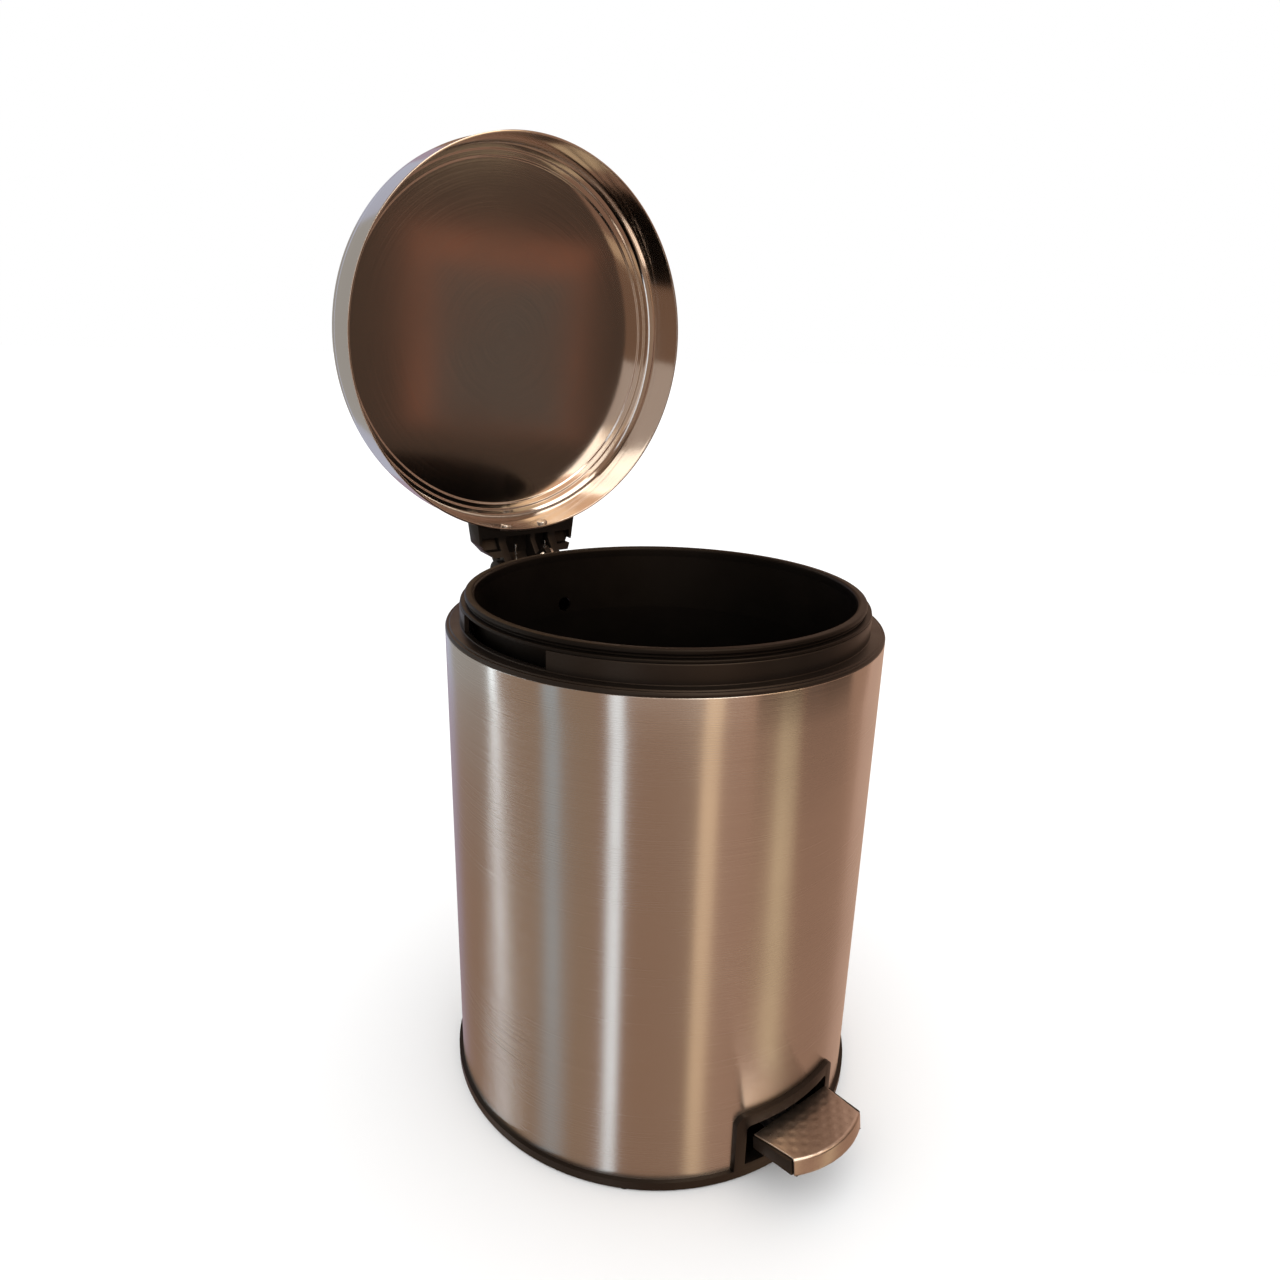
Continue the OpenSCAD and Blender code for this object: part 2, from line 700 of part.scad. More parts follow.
// Close-wound coils on the pin, each with a leg along the arm's hollow
module torsion_springs() {
    pitch = spring_wire_d * 0.96; // turns that just overlap, so the coil is one piece
    color(steel) swing_open() for (x = spring_x) {
        translate([x + spring_wire_d / 2, hinge_y, hinge_z]) rotate([0, 90, 0]) rotate_extrude()
            for (i = [0 : spring_turns - 1]) translate([spring_r, i * pitch]) circle(d = spring_wire_d);
        wire([x + 2 * pitch, hinge_y, hinge_z + spring_r],
             [x + 2 * pitch, hinge_y - spring_leg, hinge_z + spring_r + spring_leg_rise], spring_wire_d / 2);
    }
}

// ---------- push rod ----------

module push_rod() {
    top = [0, crank_y, crank_z];
    bend = [0, crank_y, jog_z + jog_half];
    inner = [0, rod_in_y, jog_z - jog_half];
    low = [0, rod_in_y, rod_low_z];
    color(steel) {
        wire(top, bend, wire_r);
        wire(bend, inner, wire_r);
        wire(inner, low, wire_r);
        translate(low) sphere(r = wire_r + bend_bulge);
        x_rod(wire_r, 0, hook_len, crank_y, crank_z);
        x_rod(wire_r, 0, lever_w / 2 + hook_end, rod_in_y, rod_low_z);
    }
}

module rod_clips() {
    color(steel) {
        push_clip(wire_r, crank_lug_x + crank_lug_t + clip_gap, crank_y, crank_z);
        push_clip(wire_r, lever_w / 2 + clip_gap, rod_in_y, rod_low_z);
    }
}

// ---------- pedal ----------

module pedal_lever() {
    half = lever_w / 2;
    color(steel) difference() {
        union() {
            tilt_lever() difference() {
                span_box([-half, half], [-lever_front, lever_len + lever_tail],
                         [-lever_h / 2, lever_h / 2]);
                span_box([-half + lever_t, half - lever_t],
                         [-lever_front - through, lever_len + 2 * lever_tail],
                         [-lever_h / 2 + lever_t, lever_h]);
            }
            on_pedal() span_box([-half, half], [-pedal_side + tongue_inset, 4],
                                [-tongue_drop - tongue_half, -tongue_drop + tongue_half]);
        }
        x_rod(axle_r + run_gap, -lever_w, lever_w, axle_y, axle_z);
        tilt_lever() translate([0, lever_len, 0]) span_box([-lever_w, lever_w],
            [-slot_l / 2, slot_l / 2], [-slot_h / 2, slot_h / 2]);
        pedal_screw_places() translate([0, 0, -pedal_thick])
            cylinder(r = pedal_screw_r + run_gap, h = pedal_thick);
    }
}

// Plan of the pedal: straight inner edge, tapering sides, bulging nose
module pedal_plan(grow) {
    inner = pedal_w / 2 + grow;
    corner = inner - pedal_taper;
    nose_r = (corner * corner + pedal_nose * pedal_nose) / (2 * pedal_nose);
    nose_a = asin(corner / nose_r);
    side = pedal_side + grow;
    nose = [for (i = [-6 : 6]) let (a = i * nose_a / 6)
        [nose_r * sin(a), -side - nose_r * (cos(a) - cos(nose_a))]];
    polygon(concat([[inner, 0], [-inner, 0]], nose));
}

module pedal_screw_places() {
    on_pedal() for (y = pedal_screw_y) translate([0, y, 0]) children();
}

module pedal_body() {
    color(plastic) difference() {
        on_pedal() difference() {
            intersection() {
                translate([0, 0, -pedal_thick - plate_t]) linear_extrude(pedal_thick) pedal_plan(body_margin);
                translate([0, body_r / 2, pedal_belly_r - pedal_thick]) rotate([90, 0, 0])
                    cylinder(r = pedal_belly_r, h = body_r);
            }
            // the plate's lip on the nose and the slot of the tongue
            difference() {
                translate([0, 0, -lip_h]) linear_extrude(lip_h) pedal_plan(body_margin + through);
                nose_core(plate_t + skin_gap / 2);
            }
            span_box([-lever_w / 2, lever_w / 2], [-pedal_side + tongue_inset, through],
                     [-tongue_drop - tongue_half, -tongue_drop + tongue_half]);
            // the underside's rise to the lip
            side_plate(-pedal_w, pedal_w) polygon([
                [belly_y, -pedal_thick - plate_t], [-pedal_side - body_margin, -lip_h],
                [-2 * pedal_side, -lip_h], [-2 * pedal_side, -2 * pedal_thick], [belly_y, -2 * pedal_thick]
            ]);
        }
        tilt_lever() span_box([-lever_w / 2 - lever_gap, lever_w / 2 + lever_gap],
                              [-lever_front - lever_gap, 0],
                              [-lever_h / 2 - lever_gap, lever_h / 2 + lever_gap]);
        pedal_screw_places() {
            translate([0, 0, -2 * pedal_thick])
                cylinder(r = pedal_head_r + head_gap, h = pedal_thick + pedal_head_t);
            translate([0, 0, -pedal_thick])
                cylinder(r = pedal_screw_r, h = pedal_thick - plate_t - thread_stop);
        }
    }
}

// What lies behind the plate's lip on the nose
module nose_core(inset) {
    translate([0, 0, -lip_h - through]) linear_extrude(lip_h + 2 * through) pedal_plan(-inset);
    span_box([-pedal_w, pedal_w], [-pedal_side + 1, pedal_side], [-lip_h - through, through]);
}

module pedal_plate() {
    color(steel) on_pedal() {
        translate([0, 0, -plate_t]) linear_extrude(plate_t) pedal_plan(0);
        difference() {
            translate([0, 0, -lip_h]) linear_extrude(lip_h) pedal_plan(0);
            nose_core(plate_t);
        }
    }
}

module pedal_screws() {
    color(steel) pedal_screw_places() {
        translate([0, 0, -pedal_thick]) cylinder(r = pedal_head_r, h = pedal_head_t);
        translate([0, 0, -pedal_thick + pedal_head_t - eps])
            cylinder(r = pedal_screw_r, h = pedal_thick - pedal_head_t - plate_t - thread_stop);
    }
}

axle_end = lug_x + lug_t + clip_t + clip_gap;

module pedal_axle() {
    color(steel) x_rod(axle_r, -axle_end, axle_end, axle_y, axle_z);
}

module axle_clips() {
    color(steel) for (x = [-lug_x - lug_t - clip_t - skin_gap, lug_x + lug_t + skin_gap])
        push_clip(axle_r, x, axle_y, axle_z);
}

module lever_buffer() {
    pad_y = lever_len * 0.9;
    pad_low = axle_z + (lever_h / 2 + pad_y * sin(lever_tilt)) / cos(lever_tilt) + buffer_gap;
    color(rubber) translate([0, axle_y + pad_y, 0])
        span_box([-lug_x, lug_x], [-buffer_half, buffer_half], [pad_low, deck_z]);
}

outer_shell();
top_collar();
base();
base_plate();
rubber_feet();
pedal_frame();
inner_bucket();
lid_shell();
lid_bracket();
lid_rivets();
hinge_arm();
arm_screws();
torsion_springs();
hinge_pin();
pin_caps();
hinge_housing();
hinge_cover();
housing_screws();
cover_screws();
push_rod();
rod_clips();
pedal_lever();
pedal_body();
pedal_plate();
pedal_screws();
pedal_axle();
axle_clips();
lever_buffer();
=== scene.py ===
"""A round pedal bin: brushed steel shell, open steel lid, black bucket and foot pedal."""

import json
from math import asin, atan2, cos, pi, radians, sin, sqrt, tan

import bmesh
import bpy
from bpy.props import FloatProperty, FloatVectorProperty, IntProperty, PointerProperty
from mathutils import Matrix, Vector


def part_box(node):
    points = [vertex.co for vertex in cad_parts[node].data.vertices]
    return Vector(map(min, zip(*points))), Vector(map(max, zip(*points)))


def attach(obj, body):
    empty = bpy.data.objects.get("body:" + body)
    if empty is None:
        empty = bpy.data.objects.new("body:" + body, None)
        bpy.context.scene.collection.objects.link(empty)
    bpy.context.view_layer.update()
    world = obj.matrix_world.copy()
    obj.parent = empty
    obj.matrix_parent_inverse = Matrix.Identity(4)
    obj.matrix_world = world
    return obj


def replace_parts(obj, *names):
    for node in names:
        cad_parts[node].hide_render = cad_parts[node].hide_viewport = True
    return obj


bl_info = {
    "name": "Pedal bin",
    "version": (1, 0, 0),
    "blender": (4, 5, 0),
    "location": "View3D > Sidebar > Pedal bin",
    "description": "Builds the pieces and finishes of a round pedal bin",
    "category": "Add Mesh",
}

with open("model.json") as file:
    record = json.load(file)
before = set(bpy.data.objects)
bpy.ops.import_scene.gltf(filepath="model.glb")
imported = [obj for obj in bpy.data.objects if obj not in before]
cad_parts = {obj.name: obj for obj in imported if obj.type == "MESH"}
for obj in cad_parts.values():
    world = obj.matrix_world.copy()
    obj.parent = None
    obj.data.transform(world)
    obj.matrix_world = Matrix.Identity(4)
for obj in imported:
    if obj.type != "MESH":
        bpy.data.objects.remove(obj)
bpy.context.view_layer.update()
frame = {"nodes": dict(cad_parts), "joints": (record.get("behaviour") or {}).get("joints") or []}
JOINTS = {joint["name"]: joint for joint in frame["joints"]}
MM = 0.001
FRONT = -pi / 2
WELD = 1e-6          # vertices nearer than this are one
CAD_WELD = 2e-6      # the same for the frame's own meshes


# ---------- what the frame says ----------

def low(node):
    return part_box(node)[0]


def high(node):
    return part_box(node)[1]


HINGE = Vector(JOINTS["lid_hinge"]["pos_m"])
AXLE = Vector(JOINTS["pedal_pivot"]["pos_m"])
OPEN_ANGLE = radians(max(JOINTS["lid_hinge"]["range_deg"]))
SHELL_RADIUS = round(high("outer_shell").x, 5)
SHELL_LOW = low("outer_shell").z
SHELL_TOP = high("outer_shell").z
COLLAR_TOP = high("top_collar").z
BUCKET_TOP = high("inner_bucket").z
BUCKET_LOW = low("inner_bucket").z

# The camera's place and turn, and what the soft boxes point at
CAMERA_PLACE = Vector((-0.2649, -0.3187, 0.3601))
CAMERA_RIGHT = Vector((0.7908, -0.6116, 0.0241))
CAMERA_UP = Vector((0.1700, 0.2573, 0.9513))
LID_MIDDLE = Vector((0, 0.13, 0.36))


# ---------- sizes and colours a user would change ----------

def size(name, description, value, **more):
    return FloatProperty(name=name, description=description, default=value, unit="LENGTH",
                         precision=5, **more)


def colour(name, description, value):
    return FloatVectorProperty(name=name, description=description, default=value,
                               subtype="COLOR", min=0.0, max=1.0)


class BIN_PG_shell(bpy.types.PropertyGroup):
    radius: size("Radius", "Outer radius of the steel shell", SHELL_RADIUS)
    sheet: size("Sheet", "Thickness of the steel sheet", 0.6 * MM)
    cutout: size("Cut-out width", "Width of the opening behind the pedal frame", 57 * MM)
    cutout_drop: size("Cut-out drop", "From the pedal frame's top down to the opening's", 3.2 * MM)
    slot: size("Slot width", "Width of the rod's slot at the back", 8 * MM)
    rod_room: size("Rod room", "Room round the rod in its slot", 2.5 * MM)
    columns: IntProperty(name="Columns", description="Faces round the shell", default=288)
    top_edge: size("Top edge", "Rounding of the top edge's outer corner", 0.45 * MM)
    tint: colour("Tint", "Colour of the brushed steel", (0.64, 0.61, 0.585))
    roughness: FloatProperty(name="Roughness", description="Blur across the grain", default=0.25)


class BIN_PG_collar(bpy.types.PropertyGroup):
    band_inset: size("Band inset", "From the shell's face in to the band's face", 6.7 * MM)
    band_height: size("Band height", "Height of the band above the shelf", 8.6 * MM)
    band_wall: size("Band wall", "Thickness of the band", 2 * MM)
    skirt: size("Skirt", "Depth of the skirt inside the shell", 15 * MM)
    notch_middle: FloatProperty(name="Notch angle", subtype="ANGLE", default=radians(86.5),
                                description="Middle of each finger notch, from the front")
    notch_half: FloatProperty(name="Notch half angle", subtype="ANGLE", default=radians(18.5),
                              description="Half the angle of each finger notch")


class BIN_PG_bucket(bpy.types.PropertyGroup):
    wall: size("Wall", "Thickness of the bucket's wall", 1.5 * MM)
    foot: size("Foot radius", "Outer radius of the bottom", SHELL_RADIUS - 19 * MM)
    side: size("Side radius", "Outer radius of the wall's upper end", SHELL_RADIUS - 14.5 * MM)
    neck: size("Neck radius", "Outer radius under the flange", SHELL_RADIUS - 12.5 * MM)
    lip: size("Lip radius", "Outer radius of the rolled lip", SHELL_RADIUS - 9.1 * MM)
    vent: size("Vent", "Radius of the hole in the back wall", 3.75 * MM)
    vent_height: size("Vent height", "Height of the hole above the floor", SHELL_TOP - 13 * MM)
    tint: colour("Tint", "Colour of the bucket", (0.0026, 0.0022, 0.0018))


class BIN_PG_lid(bpy.types.PropertyGroup):
    radius: size("Radius", "Outer radius of the lid's skirt", SHELL_RADIUS - 2.2 * MM)
    depth: size("Depth", "From the rim to the flat panel inside", 27.2 * MM)
    panel: size("Panel radius", "Radius of the flat panel inside", SHELL_RADIUS - 9 * MM)
    sheet: size("Sheet", "Thickness of the steel sheet", 0.6 * MM)
    tint: colour("Tint", "Colour of the lid's steel", (0.64, 0.60, 0.57))
    roughness: FloatProperty(name="Roughness", description="Blur of the satin steel", default=0.11)


class BIN_PG_pedal(bpy.types.PropertyGroup):
    width: size("Width", "Width of the plate at the shell", 47.4 * MM)
    side: size("Side", "Length of the plate's straight sides", 22.5 * MM)
    nose: size("Nose", "Bulge of the nose past its corners", 5.9 * MM)
    taper: size("Taper", "How much each side draws in", 1.6 * MM)
    plate: size("Plate", "Thickness of the steel plate", 0.8 * MM)
    lip: size("Lip", "How far the plate wraps down the nose", 8 * MM)
    slope: FloatProperty(name="Slope", subtype="ANGLE", default=radians(8.36),
                         description="Rise of the plate towards the nose")
    dimple_pitch: size("Dimple pitch", "Distance between dimples in a row", 7.4 * MM)
    seat: size("Seat", "Height of the plate's inner edge above the floor", 25.9 * MM)
    bend: size("Bend", "Radius of the plate's bend over the nose", 1.4 * MM)
    dimple_depth: size("Dimple depth", "Depth of the pressed dimples", 0.09 * MM)


class BIN_PG_linkage(bpy.types.PropertyGroup):
    wire: size("Rod wire", "Diameter of the push rod's wire", 3 * MM)
    bend: size("Rod bend", "Radius of the rod's bends, on its centre line", 3 * MM)
    top_hook: size("Top hook", "Reach of the rod's upper bent end", 7.6 * MM)
    low_hook: size("Low hook", "Reach of the rod's lower bent end", 10.4 * MM)
    jog: size("Jog", "Height of the middle of the rod's jog", SHELL_TOP - 22 * MM)
    jog_half: size("Jog half", "Half the height of the jog", 4 * MM)
    spring_wire: size("Spring wire", "Diameter of the springs' wire", 1.3 * MM)
    coil: size("Coil radius", "Mean radius of the springs' coils", 4.4 * MM)
    coil_length: size("Coil length", "Length of each coil between its end turns", 5.4 * MM)
    leg: size("Leg", "Length of each spring's leg", 13.8 * MM)
    leg_rise: size("Leg rise", "How far each leg leans out", 1.4 * MM)


class BIN_PG_plastic(bpy.types.PropertyGroup):
    tint: colour("Tint", "Colour of the moulded plastic", (0.0065, 0.005, 0.004))
    edge: size("Edge", "Rounding of moulded edges", 0.4 * MM)


class BIN_PG_stage(bpy.types.PropertyGroup):
    room: colour("Room", "What bright metal reflects between the lights", (0.33, 0.195, 0.125))
    soft_light: FloatProperty(name="Soft light", description="Level of the light on matt faces",
                              default=1.3)
    distance: FloatProperty(name="Distance", description="From the shell to each strip light",
                            unit="LENGTH", default=1.6)


# Strip lights: name, azimuth and width in degrees, level
STRIPS = (
    ("left_edge", 80, 26, (0.08, 0.11, 0.22)),
    ("left_wide", 170, 60, (0.02, 0.035, 0.03)),
    ("back_left", 138.5, 4, (1.55, 1.80, 1.95)),
    ("cool", 175, 9, (0.09, 0.22, 0.30)),
    ("key", -151, 7, (0.78, 0.95, 1.05)),
    ("warm", -104, 9, (0.42, 0.33, 0.20)),
    ("olive", -62, 13, (0.36, 0.32, 0.19)),
    ("right_wide", -55, 110, (0.08, 0.045, 0.035)),
    ("right_edge", 20, 50, (0.24, 0.17, 0.14)),
)

# Soft boxes: name, azimuth, elevation and width in degrees, level
BOXES = (
    ("back_box", 112, 8, 70, (0.08, 0.17, 0.20)),
    ("bright_box", -99, 34, 24, (2.10, 2.00, 1.75)),
    ("high_box", -80, 62, 30, (1.60, 1.42, 1.20)),
    ("golden_box", -74, 28, 26, (0.85, 0.55, 0.33)),
    ("grey_box", -124, 16, 32, (0.40, 0.39, 0.36)),
    ("ceiling_box", -90, 80, 34, (1.9, 1.6, 1.3)),
)

# Cards reflected by the lid: name, azimuth, height, width, height of the card, distance, level
FLAGS = (
    ("flag_dark", -57, 0.20, 1.1, 0.55, 1.0, (0.068, 0.043, 0.029)),
    ("flag_red", -56.5, 0.238, 0.215, 0.25, 0.96, (0.29, 0.112, 0.064)),
    ("flag_inner", -56, 0.226, 0.165, 0.20, 0.93, (0.118, 0.088, 0.069)),
)


GROUPS = {
    "bin_stage": BIN_PG_stage,
    "bin_shell": BIN_PG_shell,
    "bin_collar": BIN_PG_collar,
    "bin_bucket": BIN_PG_bucket,
    "bin_lid": BIN_PG_lid,
    "bin_pedal": BIN_PG_pedal,
    "bin_linkage": BIN_PG_linkage,
    "bin_plastic": BIN_PG_plastic,
}


# ---------- outlines and meshes ----------

def rounded(corners, steps=5):
    """A closed outline through corners (u, v, radius), with an arc where the radius isn't 0."""
    out = []
    count = len(corners)
    for i, (u, v, radius) in enumerate(corners):
        here = Vector((u, v))
        before = Vector(corners[i - 1][:2]) - here
        after = Vector(corners[(i + 1) % count][:2]) - here
        if radius <= 0:
            out.append((u, v))
            continue
        half = before.angle(after) / 2
        reach = min(radius / tan(half), 0.48 * before.length, 0.48 * after.length)
        radius = reach * tan(half)
        middle = here + (before.normalized() + after.normalized()).normalized() * radius / sin(half)
        start = here + before.normalized() * reach - middle
        stop = here + after.normalized() * reach - middle
        turn = (atan2(stop.y, stop.x) - atan2(start.y, start.x) + pi) % (2 * pi) - pi
        for k in range(steps + 1):
            angle = atan2(start.y, start.x) + turn * k / steps
            out.append((middle.x + radius * cos(angle), middle.y + radius * sin(angle)))
    return out


def weld(bm):
    bmesh.ops.remove_doubles(bm, verts=bm.verts, dist=WELD)
    bmesh.ops.recalc_face_normals(bm, faces=bm.faces)


def finish_mesh(name, bm, body, material, smooth=35):
    """Turns a bmesh into a piece that rides on a body, with smooth faces and sharp corners."""
    weld(bm)
    mesh = bpy.data.meshes.new(name)
    bm.to_mesh(mesh)
    bm.free()
    return place(name, mesh, body, material, smooth)


def place(name, mesh, body, material, smooth=35):
    mesh.materials.clear()
    mesh.materials.append(material)
    mesh.shade_smooth()
    mesh.set_sharp_from_angle(angle=radians(smooth))
    piece = bpy.data.objects.new(name, mesh)
    bpy.context.scene.collection.objects.link(piece)
    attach(piece, body)
    return piece


def add_lathe(bm, outline, columns=256, start=FRONT, sweep=2 * pi, closed=True):
    """Turns an outline (r, z) about Z. Its UV is (turns, metres along the outline)."""
    uv = bm.loops.layers.uv.verify()
    whole = abs(sweep - 2 * pi) < 1e-6
    rings = []
    for c in range(columns + (0 if whole else 1)):
        angle = start + sweep * c / columns
        rings.append([bm.verts.new((r * cos(angle), r * sin(angle), z)) for r, z in outline])
    along = [0.0]
    for a, b in zip(outline, outline[1:] + outline[:1]):
        along.append(along[-1] + (Vector(b) - Vector(a)).length)
    count = len(outline)
    for c in range(columns):
        here = rings[c]
        after = rings[(c + 1) % len(rings)]
        for i in range(count if closed else count - 1):
            j = (i + 1) % count
            if outline[i][0] < 1e-9 and outline[j][0] < 1e-9:
                continue
            corners = [here[i], here[j], after[j], after[i]]
            places = [(c, i), (c, i + 1), (c + 1, i + 1), (c + 1, i)]
            if outline[i][0] < 1e-9:
                corners, places = corners[:3], places[:3]
            elif outline[j][0] < 1e-9:
                corners, places = [here[i], here[j], after[i]], [places[0], places[1], places[3]]
            face = bm.faces.new(corners)
            for loop, (column, row) in zip(face.loops, places):
                loop[uv].uv = (column / columns * sweep / (2 * pi), along[row])
    if not whole and closed:
        bm.faces.new(rings[0])
        bm.faces.new(list(reversed(rings[-1])))


def draft(name, bm):
    """A bmesh as an object to work on."""
    mesh = bpy.data.meshes.new(name)
    bm.to_mesh(mesh)
    bm.free()
    piece = bpy.data.objects.new(name, mesh)
    bpy.context.scene.collection.objects.link(piece)
    return piece


def take_mesh(piece):
    """The mesh of a draft with its modifiers used. The draft goes."""
    use_modifiers(piece)
    mesh = piece.data
    bpy.data.objects.remove(piece)
    return mesh


def cut_away(piece, cutter):
    """Takes one draft out of another. The cutter goes."""
    cut = piece.modifiers.new("cut", "BOOLEAN")
    cut.operation = "DIFFERENCE"
    cut.solver = "EXACT"
    cut.object = cutter
    use_modifiers(piece)
    bpy.data.objects.remove(cutter)


def swing_open(bm):
    """Moves what is drawn closed to where it is with the lid open."""
    turn = (Matrix.Translation(HINGE) @ Matrix.Rotation(-OPEN_ANGLE, 4, "X")
            @ Matrix.Translation(-HINGE))
    bmesh.ops.transform(bm, matrix=turn, verts=bm.verts)


def use_modifiers(piece):
    """Makes a piece's modifiers part of its mesh."""
    depsgraph = bpy.context.evaluated_depsgraph_get()
    mesh = bpy.data.meshes.new_from_object(piece.evaluated_get(depsgraph))
    piece.modifiers.clear()
    old = piece.data
    piece.data = mesh
    mesh.name = piece.name
    bpy.data.meshes.remove(old)


def soften(node, name, body, material, edge, angle=40, segments=3):
    """A copy of a CAD node with rounded edges, which replaces it."""
    bm = bmesh.new()
    bm.from_mesh(frame["nodes"][node].data)
    bmesh.ops.remove_doubles(bm, verts=bm.verts, dist=CAD_WELD)
    bmesh.ops.dissolve_limit(bm, angle_limit=radians(0.6), verts=bm.verts, edges=bm.edges)
    piece = draft(name, bm)
    bevel = piece.modifiers.new("edges", "BEVEL")
    bevel.width = edge
    bevel.segments = segments
    bevel.limit_method = "ANGLE"
    bevel.angle_limit = radians(angle)
    bevel.use_clamp_overlap = True
    bevel.harden_normals = False
    piece = place(name, take_mesh(piece), body, material, smooth=30)
    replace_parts(piece, node)
    return piece


# ---------- finishes ----------

class Graph:
    """Adds nodes of one family to a node tree."""

    def __init__(self, tree, family):
        self.tree = tree
        self.family = family

    def node(self, kind, inputs=None, **settings):
        made = self.tree.nodes.new(self.family + kind)
        for key, value in settings.items():
            setattr(made, key, value)
        for key, value in (inputs or {}).items():
            if isinstance(value, bpy.types.NodeSocket):
                self.tree.links.new(value, made.inputs[key])
            else:
                made.inputs[key].default_value = value
        return made


class Finish(Graph):
    """Builds one material's nodes."""

    def __init__(self, name):
        self.material = bpy.data.materials.new(name)
        self.material.use_nodes = True
        super().__init__(self.material.node_tree, "ShaderNode")
        self.shader = self.tree.nodes["Principled BSDF"]

    def set(self, **values):
        for key, value in values.items():
            name = key.replace("_", " ")
            if isinstance(value, bpy.types.NodeSocket):
                self.tree.links.new(value, self.shader.inputs[name])
            else:
                self.shader.inputs[name].default_value = value

    def stretched_noise(self, coords, scale, detail=3.0, roughness=0.6):
        mapping = self.node("Mapping", {"Vector": coords, "Scale": scale})
        return self.node("TexNoise", {"Vector": mapping.outputs[0], "Scale": 1.0, "Detail": detail,
                                      "Roughness": roughness}).outputs["Fac"]

    def spread(self, value, low_value, high_value, low_in=0.3, high_in=0.7):
        return self.node("MapRange", {"Value": value, "From Min": low_in, "From Max": high_in,
                                      "To Min": low_value, "To Max": high_value}).outputs["Result"]

    def mix(self, factor, a, b):
        made = self.node("Mix", data_type="RGBA", blend_type="MIX")
        for index, value in ((0, factor), (6, a), (7, b)):
            if isinstance(value, bpy.types.NodeSocket):
                self.tree.links.new(value, made.inputs[index])
            else:
                made.inputs[index].default_value = value
        return made.outputs[2]

    def bump(self, height, strength, distance, normal=None):
        made = self.node("Bump", {"Height": height, "Strength": strength, "Distance": distance})
        if normal is not None:
            self.tree.links.new(normal, made.inputs["Normal"])
        return made.outputs["Normal"]


def rgba(tint, gain=1.0):
    return (tint[0] * gain, tint[1] * gain, tint[2] * gain, 1.0)


def brushed_steel(name, tint, roughness, grain, anisotropy, axis, coords="UV", relief=1.0):
    """Steel with fine lines round an axis. grain is lines per turn and lines per metre."""
    steel = Finish(name)
    where = steel.node("TexCoord").outputs[coords]
    lines = steel.stretched_noise(where, (grain[0], grain[1], grain[1]), detail=4)
    scratches = steel.stretched_noise(where, (grain[0] * 3, grain[1] * 0.3, grain[1] * 0.3),
                                      detail=2)
    clouds = steel.stretched_noise(where, (4, 14, 14), detail=3)
    colour_a = steel.mix(steel.spread(lines, 0, 1), rgba(tint, 0.93), rgba(tint, 1.07))
    steel.set(Base_Color=steel.mix(steel.spread(clouds, 0, 0.25), colour_a, rgba(tint, 0.9)))
    rough_a = steel.spread(lines, roughness - 0.03, roughness + 0.03)
    rough_b = steel.node("Math", {0: rough_a, 1: steel.spread(clouds, -0.02, 0.02)},
                         operation="ADD")
    steel.set(Metallic=1.0, Roughness=rough_b.outputs[0], Anisotropic=anisotropy)
    fine = steel.bump(lines, 0.10 * relief, 0.02 * MM)
    steel.set(Normal=steel.bump(scratches, 0.06 * relief, 0.03 * MM, fine))
    if axis:
        tangent = steel.node("Tangent", direction_type=axis)
        steel.set(Tangent=tangent.outputs[0], Anisotropic_Rotation=0.25)
    return steel.material


def moulded_plastic(name, tint, roughness=0.38, texture=0.12, gloss=0.4):
    """Satin plastic with a fine spark-eroded texture and slight wear in its gloss."""
    plastic = Finish(name)
    where = plastic.node("TexCoord").outputs["Object"]
    grain = plastic.stretched_noise(where, (2600, 2600, 2600), detail=2)
    patches = plastic.stretched_noise(where, (28, 28, 28), detail=4)
    plastic.set(Base_Color=plastic.mix(plastic.spread(patches, 0, 1),
                                       rgba(tint, 0.85), rgba(tint, 1.25)))
    plastic.set(Roughness=plastic.spread(patches, roughness - 0.05, roughness + 0.06))
    plastic.set(Normal=plastic.bump(grain, texture, 0.03 * MM), Specular_IOR_Level=gloss)
    plastic.set(Specular_Tint=(1.0, 0.80, 0.66, 1))
    return plastic.material


def bright_metal(name, tint, roughness=0.22):
    """Plated steel of pins, springs and screws, with faint handling marks."""
    metal = Finish(name)
    where = metal.node("TexCoord").outputs["Object"]
    marks = metal.stretched_noise(where, (300, 300, 300), detail=4)
    metal.set(Base_Color=metal.mix(metal.spread(marks, 0, 1), rgba(tint, 0.8), rgba(tint, 1.0)))
    metal.set(Metallic=1.0, Roughness=metal.spread(marks, roughness - 0.06, roughness + 0.1))
    metal.set(Normal=metal.bump(marks, 0.1, 0.05 * MM))
    return metal.material


def soft_rubber(name, tint):
    rubber = Finish(name)
    where = rubber.node("TexCoord").outputs["Object"]
    specks = rubber.stretched_noise(where, (900, 900, 900), detail=3)
    rubber.set(Base_Color=rubber.mix(rubber.spread(specks, 0, 1), rgba(tint, 0.7), rgba(tint, 1.3)))
    rubber.set(Roughness=rubber.spread(specks, 0.7, 0.9))
    rubber.set(Normal=rubber.bump(specks, 0.2, 0.05 * MM))
    return rubber.material


FINISHES = {}


